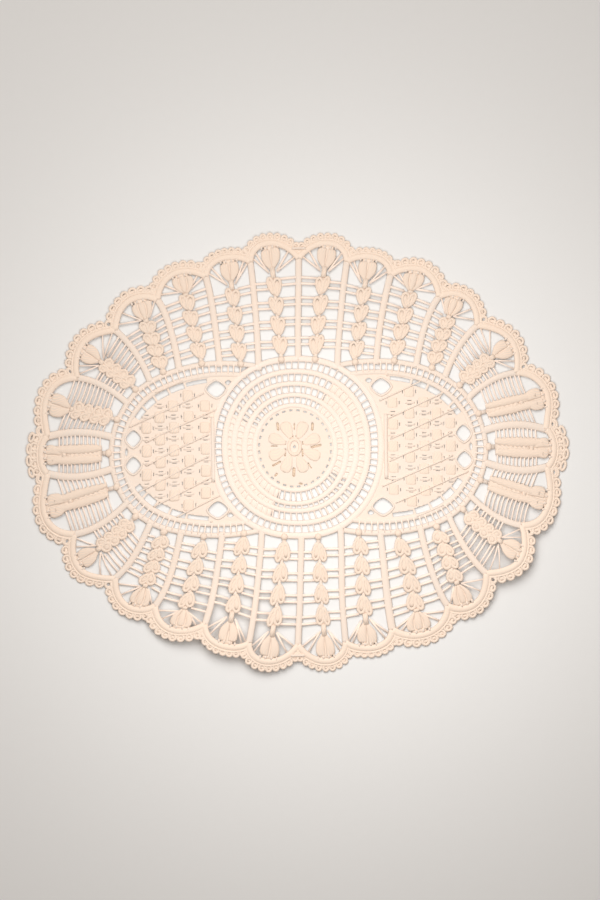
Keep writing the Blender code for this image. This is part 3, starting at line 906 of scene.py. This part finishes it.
def wired(material):
    """Two helpers for a material: one adds a node, one fills the shader's sockets."""
    material.use_nodes = True
    tree = material.node_tree

    def fill(socket, value):
        if isinstance(value, bpy.types.NodeSocket):
            tree.links.new(value, socket)
        else:
            socket.default_value = value

    def add(kind, settings=None, values=(), **inputs):
        node = tree.nodes.new(kind)
        for key, value in (settings or {}).items():
            setattr(node, key, value)
        for socket, value in zip(node.inputs, values):
            fill(socket, value)
        for key, value in inputs.items():
            fill(node.inputs[key.replace("_", " ")], value)
        return node

    def dress(**inputs):
        for key, value in inputs.items():
            fill(tree.nodes["Principled BSDF"].inputs[key.replace("_", " ")], value)

    return add, dress


def between(add, fac, low, high):
    """A colour between two others."""
    node = add("ShaderNodeMix", {"data_type": "RGBA"}, Factor=fac)
    first, second, result = node.inputs[6], node.inputs[7], node.outputs[2]
    first.default_value = (*low, 1.0)
    second.default_value = (*high, 1.0)
    return result


def cotton(name, look, grooves, light, relief):
    """Ecru cotton, with painted shade in its grooves. grooves(add, uv) gives the height of
    its threads from 0 to 1.
    """
    if name in bpy.data.materials:
        return bpy.data.materials[name]
    material = bpy.data.materials.new(name)
    add, dress = wired(material)
    thread = add("ShaderNodeUVMap", {"uv_map": "thread"})
    spot = add("ShaderNodeTexCoord").outputs["Object"]
    height = grooves(add, thread.outputs["UV"])
    fibre = add("ShaderNodeTexNoise", Vector=spot, Scale=FIBRES, Detail=2.0)
    patches = add("ShaderNodeTexNoise", Vector=spot, Scale=PATCHES, Detail=3.0)
    fuzzy = add("ShaderNodeMath", {"operation": "MULTIPLY_ADD"},
                (fibre.outputs["Fac"], FUZZ, height)).outputs[0]
    # Painted shade: the lower the thread height, the nearer the colour comes to the dark
    # groove colour, as shade falls in the grooves and fibre hollows; the patches below vary
    # the tone at random
    shade = add("ShaderNodeMapRange", Value=fuzzy, From_Min=0.05, From_Max=0.85)
    tone = add("ShaderNodeMapRange", Value=patches.outputs["Fac"], From_Min=0.3,
               From_Max=0.7, To_Min=0.72, To_Max=1.0)
    fac = add("ShaderNodeMath", {"operation": "MULTIPLY"},
              (shade.outputs["Result"], tone.outputs["Result"]))
    bump = add("ShaderNodeBump", Height=fuzzy, Distance=relief, Strength=0.6)
    dress(Base_Color=between(add, fac.outputs[0], look.groove_shade_and_tone, light),
          Normal=bump.outputs["Normal"], Roughness=look.roughness,
          Sheen_Weight=look.sheen, Sheen_Roughness=0.5)
    return material


def bands(add, vector, direction, pitch, distortion):
    """Even ridges across one thread direction, from 0 to 1."""
    # A wave's ridges are tau / 20 apart at scale 1
    wave = add("ShaderNodeTexWave", {"wave_type": "BANDS", "bands_direction": direction},
               Vector=vector, Scale=math.tau / 20 / pitch, Distortion=distortion,
               Detail=1.0, Detail_Scale=2.0)
    return wave.outputs["Fac"]


def slanted(look, degrees, distortion):
    """Grooves of a strand: close threads that run round it at a slant."""

    def grooves(add, uv):
        turned = add("ShaderNodeMapping", Vector=uv, Rotation=(0, 0, math.radians(degrees)))
        return bands(add, turned.outputs["Vector"], "X", look.ply_pitch, distortion)

    return grooves


def woven(look):
    """Grooves of the dense cloth: threads over and under each other."""

    def grooves(add, uv):
        ridges = [bands(add, uv, direction, look.weave_pitch, 0.8) for direction in "XY"]
        both = add("ShaderNodeMath", {"operation": "MULTIPLY"}, ridges)
        return add("ShaderNodeMath", {"operation": "SQRT"}, both.outputs).outputs[0]

    return grooves


def cotton_finishes(look):
    """The finishes of the cotton, in the order of their numbers."""
    wound, laid = slanted(look, 24, 0.6), slanted(look, 70, 1.0)
    rows = (("wound ecru cord", wound, look.light, 1),
            ("laid ecru leaf", laid, look.dense, 1),
            ("woven ecru cloth", woven(look), look.light, 1),
            ("single ecru thread", wound, look.pale, 0.5),
            ("dense ecru cord", wound, look.edge, 1),
            # Painted shade for the cotton under the flower's slits
            ("shaded ecru thread", wound, look.shaded, 1),
            ("pale ecru cord", wound, look.ring, 1))
    return [cotton(name, look, grooves, light, look.relief * share)
            for name, grooves, light, share in rows]


# Pieces ----------------------------------------------------------------------------

def edge_loops(k, s):
    """A scallop's edge: loops side by side on a low cord, with an eyelet in each."""
    band, strand = FINGERS[k].band, EARS[k].strand
    low = s.arch_width / 2 - EDGE_LAP
    rows = [(low, min(band, WIDEST_ROW), EDGE_START, EARS[k].pitch)]
    if k == LAST_RIB:
        rows.append((TIP_ROW[0], band, *TIP_ROW[1:]))

    def side(t, distance):
        return beside(lambda u: arch(k, u), t, distance)

    foot, _ = walk(lambda t: side(t, low + FOOT_OUT), 0.0030, EDGE_START, 1 - EDGE_START)
    strands = [worked("edge foot", foot)]
    for low, high, start, step in rows:
        bed, params = walk(lambda t: side(t, (low + high) / 2), step, start, 1 - start)
        strands.append(worked("edge bed", bed[1:-1], half=(high - low) / 2 - BED_INSET))
        for a, b in zip(params, params[1:]):
            t = (a + b) / 2
            room = (high - low) * smooth(min(t, 1 - t) / GROWTH + GROWN)
            x, y = side(t, low + room / 2)
            hx, hy = heading(lambda u: arch(k, u), t)
            long = room / 2 - strand / 2 + LOOP_LAP
            wide = step / 2 - LOOP_SPACE
            line = [(x + hx * u - hy * v, y + hy * u + hx * v)
                    for u, v in ellipse(wide, long, 14)]
            strands.append(worked("edge loop", line, half=strand / 2, closed=True))
    return strands


def leaf(tip, crown, half, s):
    """A worked drop: a strand round it, and a filling along most of its length."""
    share = [LEAF_FILL * i / 5 for i in range(6)]
    swell = [1 - abs(2 * t / LEAF_FILL - 1) ** 2.5 for t in share]
    rim = teardrop(tip, crown, half, 16)
    middle = [mix(tip, crown, t) for t in share]
    halves = [max(half * w, FILL_END) for w in swell]
    return [worked("leaf rim", rim, half=s.leaf_width / 2, high=s.leaf_height, closed=True),
            worked("leaf filling", middle, half=halves, high=s.leaf_height * FILL_HEIGHT)]


def tulip(k, s, tip, rng):
    """Cushioned petals side by side under the arch, on a low cup, with bars to the arch."""
    wide = EARS[k].tulip_half
    under = s.arch_width / 2
    crown = under + TULIP_GAP
    cup = min(EARS[k].tulip_length, tip - crown)
    bed = [ear_spot(k, under - CUP_LAP)]
    bed += [ear_spot(k, crown + cup * t) for t, _ in TULIP]
    halves = [wide * out * CUP_SHARE for out in (0.8, *(out for _, out in TULIP))]
    strands = [worked("tulip cup", bed, half=halves)]

    def edge(share, inward, shift):
        return [ear_spot(k, crown + cup * t + shift,
                         share * wide * out + (inward if t < EARS[k].slit else 0))
                for t, out in TULIP]

    edges = PETAL_EDGES[EARS[k].petals]
    highs = [s.leaf_height * (0.75 + 0.4 * math.sin(math.pi * t)) for t, _ in TULIP]
    for a, b in zip(edges, edges[1:]):
        shift = rng.uniform(-TULIP_STRAY, TULIP_STRAY)
        left, right = edge(a, TULIP_SLIT, shift), edge(b, -TULIP_SLIT, shift)
        strands.append(worked("tulip petal", left, other=right, high=highs))
    for aside in TULIP_BARS:
        bar = ear_stretch(k, under - BAR_LAP, BAR_LENGTH, 2, aside * wide)
        strands.append(worked("tulip bar", bar))
    if tip > crown + cup:
        neck = [ear_spot(k, crown + cup + (tip - crown - cup) * t) for t in (-0.2, 0.5, 1)]
        strands.append(worked("tulip neck", neck))
    return strands


def ear_leaves(k, s, rng, banded):
    """A tulip under the arch, pairs of leaves or two long bands, and a knob."""
    long = ear_length(k)
    first = ear_start(k) * long
    run = long - first
    levels = pair_levels(k)
    pitch = run * (levels[1] - levels[0])
    tip = first + run * levels[0] - pitch * TULIP_END
    bottom = first + run * levels[-1]
    stop = bottom + pitch * SPINE_END
    full = EARS[k].half
    strands = tulip(k, s, tip, rng)

    stem = ear_stretch(k, tip - STEM_START, long - STEM_END - tip, 10)
    strands.append(worked("ear stem", stem, high=s.stem_height))
    if k in DENSE_EARS:
        half = full * SPINE_SHARE
        strands.append(worked("ear spine", ear_stretch(k, tip, stop - tip, 8),
                              half=[half * 0.5] + [half] * 7 + [half * 0.5]))
    if banded:
        top = s.arch_width / 2 + BAND_START
        for side in (-1, 1):
            band, swell = [], []
            for i in range(23):
                t = i / 22
                band.append(ear_spot(k, top + (stop - top) * t, side * BAND_ASIDE))
                swell.append(BAND_HALF + BAND_SWELL * math.sin(math.pi * t) ** 0.5
                             + rng.uniform(*BAND_RIPPLE) * (-1) ** i)
            strands.append(worked("long band", band, half=swell))

    for level in () if banded else levels:
        at = first + run * level
        for side, width, lag in LEAF_SIDES:
            size = rng.uniform(*LEAF_SIZES)
            wide = size * full * width
            point = ear_spot(k, at + lag + pitch * LEAF_TIP * size, side * TIP_ASIDE)
            crown = ear_spot(k, at + lag - pitch * LEAF_CROWN * size,
                             side * (full - wide - LEAF_INSET))
            strands += leaf(point, crown, wide, s)

    last = bottom + pitch * STALK_START
    strands.append(worked("ear stalk", ear_stretch(k, last, long - last, 2)))
    seat = long - s.frame_width / 2 - KNOB_GAP
    knob = [ear_spot(k, seat + KNOB_HALF * t) for t, _ in KNOB]
    swell = [s.knob_half * out for _, out in KNOB]
    highs = [h * 0.9 + 0.0003 for h in swell]
    strands.append(worked("ear knob", knob, half=swell, high=highs))
    return strands


def cross_threads(k, s):
    """Threads from the ear to both ribs: pairs, with rays beside the tulip, or a comb."""
    long = ear_length(k)
    run = long * (1 - ear_start(k))
    levels = pair_levels(k)
    pitch = levels[1] - levels[0]
    apart = min(s.pair_gap / 2 / run, PAIR_SHARE * pitch)
    half = s.thread_width / 2 * EARS[k].thread_share
    spots = [level + offset for level in levels for offset in (-apart, apart)]
    if k in BANDED:
        spots = [spots[0] + (spots[-1] - spots[0]) * i / 8 for i in COMB]
    strands = []

    def thread(a, b, half):
        line = [mix(a, b, t) for t in (0, 0.5, 1)]
        strands.append(worked("thread", line, half=half, high=s.thread_height,
                              base=s.thread_rise))

    for side, away in ((0, -1), (1, 1)):
        for spot in spots:
            inset = ear_half(k, spot) - COMB_INSET if k in BANDED else PAIR_INSET
            at_rib, at_ear = across(k, side, spot, inset)
            thread(at_rib, at_ear, half)
        foot = ear_spot(k, ear_start(k) * long + run * (levels[0] - pitch * RAY_START),
                        away * RAY_ASIDE)
        for share in () if k in BANDED else RAYS:
            goal = beside(lambda t: arch(k, t), side + (FINGERS[k].top - side) * share,
                          -s.arch_width / 2)
            thread(foot, goal, half * RAY_SHARE)
    return strands


class LACE_OT_border(bpy.types.Operator):
    """Work the scallops, ribs, wheat ears and cross threads round the frame"""

    bl_idname = "lace.border"
    bl_label = "Scalloped border"

    def execute(self, context):
        scene = context.scene
        s = scene.lace_strands
        rng = random.Random(SEED)
        work = Lacework()
        for k in range(len(RIBS)):
            line, _ = walk(lambda t: rib(k, t), CORD_STEP, 0.0, 1.01)
            work.lay([worked("rib", line, half=s.rib_width / 2, high=s.cord_height)],
                     QUARTERS if k else UPRIGHT)
        work.lay([worked("valley", VALLEY, half=s.thread_width / 2, high=s.thread_width)],
                 UPRIGHT)
        for k in range(len(FINGERS)):
            where = copies(k < LAST_RIB)
            line, _ = walk(lambda t: arch(k, t), CORD_STEP)
            work.lay([worked("arch", line, half=s.arch_width / 2,
                             high=s.cord_height + ARCH_RISE)], where)
            work.lay(edge_loops(k, s), where, rng, EDGE_STRAY)
            for quarter in where:
                banded = k in BANDED and (k, quarter) != LEAFY
                work.lay(ear_leaves(k, s, rng, banded), (quarter,))
            work.lay(cross_threads(k, s), where, rng, THREAD_STRAY)
        work.piece("lace_border", scene)
        return {"FINISHED"}


class LACE_OT_frame(bpy.types.Operator):
    """Work the eye-shaped frame: two cords and the ladder between them"""

    bl_idname = "lace.frame"
    bl_label = "Eye-shaped frame"

    def execute(self, context):
        scene = context.scene
        s = scene.lace_strands
        work = Lacework()
        for curve, start in ((lobe, 0.0), (inner_lobe, INNER_START)):
            upper, _ = walk(curve, CORD_STEP, start)
            work.lay([worked("frame cord", both_sides(upper), half=s.frame_width / 2,
                             high=s.cord_height)], HALVES)
        _, params = walk(lambda t: beside(lobe, t, -LOBE_GAP / 2), s.bar_pitch,
                         LADDER_START)
        bars = []
        for t in params:
            line = [beside(lobe, t, -LOBE_GAP * share) for share in (0, 0.33, 0.66, 1)]
            bars.append(worked("frame bar", line, half=s.bar_width / 2, high=s.bar_width))
        rng = random.Random(SEED)
        work.lay(bars[:-1], QUARTERS, rng, BAR_STRAY)
        work.lay(bars[-1:], HALVES, rng, BAR_STRAY)
        work.piece("lace_frame", scene)
        return {"FINISHED"}


def block_rows(c):
    """Middles of the filling's blocks and windows, in one quarter."""
    blocks, windows = [], []
    ring = RING_CORDS[0]
    for column, x in enumerate(COLUMNS):
        for row in range(c.rows):
            y = row * c.row_pitch
            from_cord = min(math.dist((x, y), lobe(i / 40)) for i in range(41))
            out = math.hypot(x / ring.width, y / ring.height)
            from_ring = out * ring.width - ring.width
            from_eyelet = min(math.dist((x, y), e[0:2]) - e[2] for e in EYELETS[:2])
            is_block = (column + row) % 2 == 0
            clear = BLOCK_CLEAR if is_block else WINDOW_CLEAR
            if from_cord > clear and from_ring > RING_CLEAR and from_eyelet > EYELET_CLEAR:
                (blocks if is_block else windows).append((x, y))
    return blocks, windows


def bar_slot(x, y, wide, high):
    """A small upright or level slot with cut corners."""
    cut = min(wide, high) * SLOT_CUT
    w, h = wide / 2, high / 2
    return [(x - w + cut, y - h), (x + w - cut, y - h), (x + w, y - h + cut),
            (x + w, y + h - cut), (x + w - cut, y + h), (x - w + cut, y + h),
            (x - w, y + h - cut), (x - w, y - h + cut)]


def filling_gaps(c):
    """Openings of one lobe's filling, in one quarter."""
    gaps = []
    steps = 5
    for start, end, width in SLITS:
        outer = [beside(lobe, start + (end - start) * i / steps, width / 2 - SLIT_OFFSET)
                 for i in range(steps + 1)]
        inner = [beside(lobe, end + (start - end) * i / steps, -width / 2 - SLIT_OFFSET)
                 for i in range(steps + 1)]
        gaps.append(outer + inner)
    gaps += [diamond(width, height, 24, x, y) for x, y, width, height in EYELETS]
    blocks, windows = block_rows(c)
    out, *slot = WINDOW_SLOT
    gaps += [bar_slot(x, y + dy, *slot) for x, y in windows for dy in (-out, out)]
    out, *slot = BLOCK_SLOT
    gaps += [bar_slot(x + dx, y, *slot) for x, y in blocks for dx in (-out, out)]
    return gaps


def brace_line(side, height):
    """A thin slanting thread over one lobe's filling, rising to the right."""
    edge = both_sides([inner_lobe(i / 60) for i in range(61)])
    ring = RING_CORDS[0]
    line = []
    for i in range(120):
        x = side * (BRACE_START + BRACE_STEP * i)
        y = height + math.tan(BRACE_SLANT) * (x - side * BRACE_MIDDLE)
        from_eyelet = min(math.dist((abs(x), abs(y)), e[0:2]) - e[3] for e in EYELETS[:2])
        from_ring = math.hypot(x / ring.width, y / ring.height)
        if from_eyelet > BRACE_CLEAR and from_ring > BRACE_RING \
                and inside((abs(x), y), edge):
            line.append((x, y))
        elif len(line) > 4:
            break
    return line[2:-2:2]


def filling_outline():
    """Edge of one lobe's filling: the inner cord and the rosette's outer cord."""
    upper, _ = walk(inner_lobe, 0.0030, INNER_START)
    cord = RING_CORDS[0]._replace(x=0.0, y=0.0)
    reach = math.atan2(upper[0][1] / cord.height, upper[0][0] / cord.width)
    steps = 30
    ring = [ring_spot(cord, reach * (2 * i / steps - 1)) for i in range(1, steps)]
    return both_sides(upper) + ring


def flat_cloth(outline, gaps, spacing):
    """Flat triangles of a cloth with its gaps left out."""
    points, edges = [], []
    for loop in [outline] + gaps:
        first = len(points)
        points += [Vector(p) for p in loop]
        edges += [(first + i, first + (i + 1) % len(loop)) for i in range(len(loop))]
    boxes = [(min(p[0] for p in g), max(p[0] for p in g), min(p[1] for p in g),
              max(p[1] for p in g), g) for g in gaps]

    def in_gap(x, y):
        return any(x0 < x < x1 and y0 < y < y1 and inside((x, y), g)
                   for x0, x1, y0, y1, g in boxes)

    x_low, x_high = min(p[0] for p in outline), max(p[0] for p in outline)
    y_low, y_high = min(p[1] for p in outline), max(p[1] for p in outline)
    row_step = spacing * math.sqrt(0.75)
    for row in range(int((y_high - y_low) / row_step)):
        y = y_low + row * row_step
        x = x_low + (row % 2) * spacing / 2
        while x < x_high:
            if inside((x, y), outline) and not in_gap(x, y):
                points.append(Vector((x, y)))
            x += spacing
    flat = delaunay_2d_cdt(points, edges, [], 0, 1e-6)
    kept = []
    for face in flat[2]:
        x = sum(flat[0][i][0] for i in face) / 3
        y = sum(flat[0][i][1] for i in face) / 3
        if inside((x, y), outline) and not in_gap(x, y):
            kept.append(face)
    return flat[0], kept


def cloth_piece(name, flat, signs, c, finish):
    """A closed sheet of cloth from flat triangles, laid once for each pair of signs."""
    points, triangles = flat
    verts, faces, coords = [], [], []
    for sx, sy in signs:
        first = len(verts)
        verts += [settle((x * sx, y * sy, c.rise), c) for x, y in points]
        for face in triangles:
            corners = list(face)
            (ax, ay), (bx, by), (cx, cy) = (points[i] for i in corners)
            if ((bx - ax) * (cy - ay) - (by - ay) * (cx - ax)) * sx * sy < 0:
                corners.reverse()
            faces.append([first + i for i in corners])
            coords += [tuple(points[i]) for i in corners]
    piece = mesh_piece(name, verts, faces, coords, [finish])
    thick = piece.modifiers.new("thickness", "SOLIDIFY")
    thick.thickness = c.thickness
    thick.offset = -1.0


def pad(x, y, wide, high, rise):
    """A cushioned block, swept from its lower end to its upper end."""
    steps = 9
    line, halves, highs = [], [], []
    for i in range(steps + 1):
        t = -1 + 2 * i / steps
        line.append((x, y + t * high / 2))
        full = (1 - abs(t) ** 5) ** 0.5
        halves.append(wide / 2 * (0.72 + 0.28 * full))
        highs.append(rise * (0.45 + 0.55 * full))
    return worked("block", line, half=halves, high=highs)


class LACE_OT_filling(bpy.types.Operator):
    """Work the chequered filling of both lobes, with its slits and eyelets"""

    bl_idname = "lace.filling"
    bl_label = "Chequered filling"

    def execute(self, context):
        scene = context.scene
        c = scene.lace_cloth
        finishes = cotton_finishes(scene.lace_look)
        gaps = filling_gaps(c)
        both = gaps + [[(x, -y) for x, y in g] for g in gaps
                       if abs(sum(y for _, y in g)) > 1e-9]
        flat = flat_cloth(filling_outline(), both, c.spacing)
        cloth_piece("lace_filling", flat, HALVES, c, finishes[CLOTH])

        work = Lacework()
        rng = random.Random(SEED + 1)
        blocks, windows = block_rows(c)
        for x, y in blocks:
            for side, rise in BLOCK_RISES:
                work.lay([pad(x, y, c.block_width, c.block_height, rise)],
                         [spot for spot in copies(y > 0) if spot[0] * side > 0], rng,
                         BAR_STRAY)
        for x, y in windows:
            dash = [(x + d * DASH_HALF, y) for d in (-1, -0.5, 0, 0.5, 1)]
            work.lay([worked("dash", dash)], copies(y > 0), rng, THREAD_STRAY)
        half = KINDS["eyelet rim"][0]
        for x, y, width, height in EYELETS[:2]:
            rim = diamond(width + half, height + half, 32, x, y)
            work.lay([worked("eyelet rim", rim, closed=True)], QUARTERS)
        for side in (-1, 1):
            for height in range(-4, 5):
                line = brace_line(side, height * 2 * c.row_pitch)
                if len(line) > 1:
                    work.sweep(worked("brace", line))
        x, y = SIDE_CORD
        work.lay([worked("side cord", [(x, y * i / 8) for i in range(-8, 9)])], HALVES)
        work.piece("lace_blocks", scene)
        return {"FINISHED"}


def ring_share(turn, at_top, at_sides):
    """A size that changes round the rosette from its top to its sides."""
    return at_top + (at_sides - at_top) * math.cos(turn) ** 2


def ring_spot(cord, turn):
    """A point on one of the rosette's cords, in one direction from its middle."""
    c, n = math.cos(turn), math.sin(turn)
    reach = (abs(c) ** cord.fullness + abs(n) ** cord.fullness) ** (-1 / cord.fullness)
    return cord.x + cord.width * c * reach, cord.y + cord.height * n * reach


def ladder_bed(outer, inner, start, end):
    """Low cotton between two ring cords, along the stretch where their ladder closes."""
    steps = 40
    line, halves = [], []
    for i in range(steps + 1):
        turn = start + (end - start) * i / steps
        a, b = ring_spot(outer, turn), ring_spot(inner, turn)
        line.append(mix(a, b, 0.5))
        halves.append(math.dist(a, b) / 2)
    return worked("ladder bed", line, half=halves)


class LACE_OT_rosette(bpy.types.Operator):
    """Work the rosette's ring cords and the bars between them"""

    bl_idname = "lace.rosette"
    bl_label = "Rosette rings"

    def execute(self, context):
        scene = context.scene
        s = scene.lace_strands
        work = Lacework()
        rng = random.Random(SEED + 2)
        for cord in RING_CORDS:
            count = round(math.tau * cord.width / RING_STEP)
            turns = [math.tau * i / count for i in range(count)]
            halves = [ring_share(turn, cord.at_top, cord.at_sides) / 2 for turn in turns]
            work.sweep(worked("ring cord", [ring_spot(cord, turn) for turn in turns],
                              half=halves, high=s.cord_height, closed=True))
        for outer, inner, *_ in RING_LADDERS[1:]:
            for start, end in CLOSED:
                work.sweep(ladder_bed(RING_CORDS[outer], RING_CORDS[inner], start, end))
        for outer, inner, bars, at_top, at_sides in RING_LADDERS:
            for bar in range(bars):
                turn = math.tau * (bar + rng.uniform(-BAR_SHIFT, BAR_SHIFT)) / bars
                a, b = (ring_spot(RING_CORDS[i], turn) for i in (outer, inner))
                line = [mix(a, b, share) for share in BAR_SPOTS]
                half = ring_share(turn, at_top, at_sides) / 2
                work.sweep(worked("ring bar", line, half=half))
        work.piece("lace_rosette", scene)
        return {"FINISHED"}


def turned_slot(x, y, degrees, long, wide):
    """A slit with cut corners that points in one direction."""
    turn = math.radians(degrees)
    cx, sx = math.cos(turn), math.sin(turn)
    return [(x + u * cx - v * sx, y + u * sx + v * cx)
            for u, v in bar_slot(0, 0, long, wide)]


def disc_gaps():
    """Openings of the middle disc: its ring of slits, the hub and the flower's slits."""
    gaps = []
    x, y, width, height, count, long, thick = SLIT_RING
    spread = long / (width + height)
    for i in range(count):
        turn = math.tau * (i + 0.5) / count
        rims = [[(x + (width + d) * math.cos(a), y + (height + d) * math.sin(a))
                 for a in (turn - spread, turn, turn + spread)]
                for d in (thick / 2, -thick / 2)]
        gaps.append(rims[0] + rims[1][::-1])
    gaps.append(ellipse(*HUB_HOLE, 8, *HUB))
    for x, y, degrees, long, wide in FLOWER_SLITS:
        gaps.append(turned_slot(HUB[0] + x, HUB[1] + y, degrees, long, wide))
    return gaps


class LACE_OT_flower(bpy.types.Operator):
    """Work the disc in the middle of the rosette, with its eight-petalled flower"""

    bl_idname = "lace.flower"
    bl_label = "Flower disc"

    def execute(self, context):
        scene = context.scene
        c = scene.lace_cloth
        finishes = cotton_finishes(scene.lace_look)
        rim = RING_CORDS[-1]
        disc = ellipse(rim.width, rim.height, 90, rim.x, rim.y)
        flat = flat_cloth(disc, disc_gaps(), c.spacing)
        cloth_piece("lace_disc", flat, [(1, 1)], c, finishes[CLOTH])

        work = Lacework()

        def from_hub(turn, distance, x=0.0, y=0.0):
            return (HUB[0] + x + distance * math.cos(turn),
                    HUB[1] + y + distance * math.sin(turn))

        # Low cotton under each slit, dark with painted shade
        for x, y, degrees, long, wide in FLOWER_SLITS:
            reach = long / 2 + SLIT_FLOOR[0]
            under = [from_hub(math.radians(degrees), d * reach, x, y) for d in (-1, 0, 1)]
            work.sweep(worked("slit floor", under, half=wide / 2 + SLIT_FLOOR[1]))
        for i in range(PETALS):
            turn = math.tau * (i + 0.5) / PETALS
            work.sweep(worked("petal", [from_hub(turn, r) for r, _ in PETAL],
                              half=[half for _, half in PETAL]))
        work.sweep(worked("hub", ellipse(*HUB_RING, 20, *HUB), closed=True))
        work.piece("lace_flower", scene)
        return {"FINISHED"}


# Stage -----------------------------------------------------------------------------

def add_lamp(name, power, spot, target, size, tint):
    data = bpy.data.lights.new(name, "AREA")
    data.shape = "DISK"
    data.size = size
    data.energy = power
    data.color = tint
    light = bpy.data.objects.new(name, data)
    light.location = spot
    aim = Vector(target) - Vector(spot)
    light.rotation_euler = aim.to_track_quat("-Z", "Y").to_euler()
    bpy.context.scene.collection.objects.link(light)


class LACE_OT_stage(bpy.types.Operator):
    """Set the pale floor, the soft lights and the camera straight above"""

    bl_idname = "lace.stage"
    bl_label = "Stage"

    def execute(self, context):
        scene = context.scene
        stage = scene.lace_stage
        half = stage.floor_half
        mesh = bpy.data.meshes.new("floor")
        mesh.from_pydata([(-half, -half, 0), (half, -half, 0), (half, half, 0),
                          (-half, half, 0)], [], [(0, 1, 2, 3)])
        floor = bpy.data.objects.new("floor", mesh)
        floor.location.z = -0.0002
        scene.collection.objects.link(floor)
        material = bpy.data.materials.new("pale floor")
        add, dress = wired(material)
        grain = add("ShaderNodeTexNoise", Scale=900.0, Detail=2.0)
        faint = [v * 0.985 for v in stage.floor]
        dress(Base_Color=between(add, grain.outputs["Fac"], faint, stage.floor),
              Roughness=0.9, Specular_IOR_Level=0.1)
        mesh.materials.append(material)

        add_lamp("window", stage.key_power, *WINDOW)
        add_lamp("overhead", stage.top_power, *OVERHEAD)
        world = bpy.data.worlds.new("studio")
        world.use_nodes = True
        sky = world.node_tree.nodes["Background"]
        sky.inputs["Color"].default_value = SKY_TINT
        sky.inputs["Strength"].default_value = stage.sky
        scene.world = world

        camera = bpy.data.cameras.new("camera")
        camera.sensor_width = 36.0
        camera.lens = camera.sensor_width * stage.camera_height / stage.view_height
        seat = bpy.data.objects.new("camera", camera)
        seat.location = (stage.camera_x, stage.camera_y, stage.camera_height)
        scene.collection.objects.link(seat)
        scene.camera = seat
        scene.view_settings.view_transform = "Standard"
        return {"FINISHED"}


class LACE_OT_declare(bpy.types.Operator):
    """A last step that does nothing"""

    bl_idname = "lace.declare"
    bl_label = "One cloth"

    def execute(self, context):
        return {"FINISHED"}


class LACE_PT_doily(bpy.types.Panel):
    """Settings and steps of the doily"""

    bl_label = "Lace doily"
    bl_idname = "LACE_PT_doily"
    bl_space_type = "VIEW_3D"
    bl_region_type = "UI"
    bl_category = "Lace"

    def draw(self, context):
        for title, group in (("Strands", context.scene.lace_strands),
                             ("Cloth", context.scene.lace_cloth),
                             ("Cotton", context.scene.lace_look),
                             ("Stage", context.scene.lace_stage)):
            box = self.layout.box()
            box.label(text=title)
            for name in group.__annotations__:
                box.prop(group, name)
        for step in STEPS:
            self.layout.operator(step.bl_idname)


GROUPS = (("lace_strands", LaceStrands), ("lace_cloth", LaceCloth),
          ("lace_look", LaceLook), ("lace_stage", LaceStage))
STEPS = (LACE_OT_stage, LACE_OT_border, LACE_OT_frame, LACE_OT_filling, LACE_OT_rosette,
         LACE_OT_flower, LACE_OT_declare)


def register():
    for name, group in GROUPS:
        bpy.utils.register_class(group)
        setattr(bpy.types.Scene, name, PointerProperty(type=group))
    for step in STEPS:
        bpy.utils.register_class(step)
    bpy.utils.register_class(LACE_PT_doily)


def unregister():
    bpy.utils.unregister_class(LACE_PT_doily)
    for step in reversed(STEPS):
        bpy.utils.unregister_class(step)
    for name, group in reversed(GROUPS):
        delattr(bpy.types.Scene, name)
        bpy.utils.unregister_class(group)


def main():
    register()
    bpy.ops.lace.stage()
    bpy.ops.lace.border()
    bpy.ops.lace.frame()
    bpy.ops.lace.filling()
    bpy.ops.lace.rosette()
    bpy.ops.lace.flower()
    bpy.ops.lace.declare()


if __name__ == "__main__":
    main()
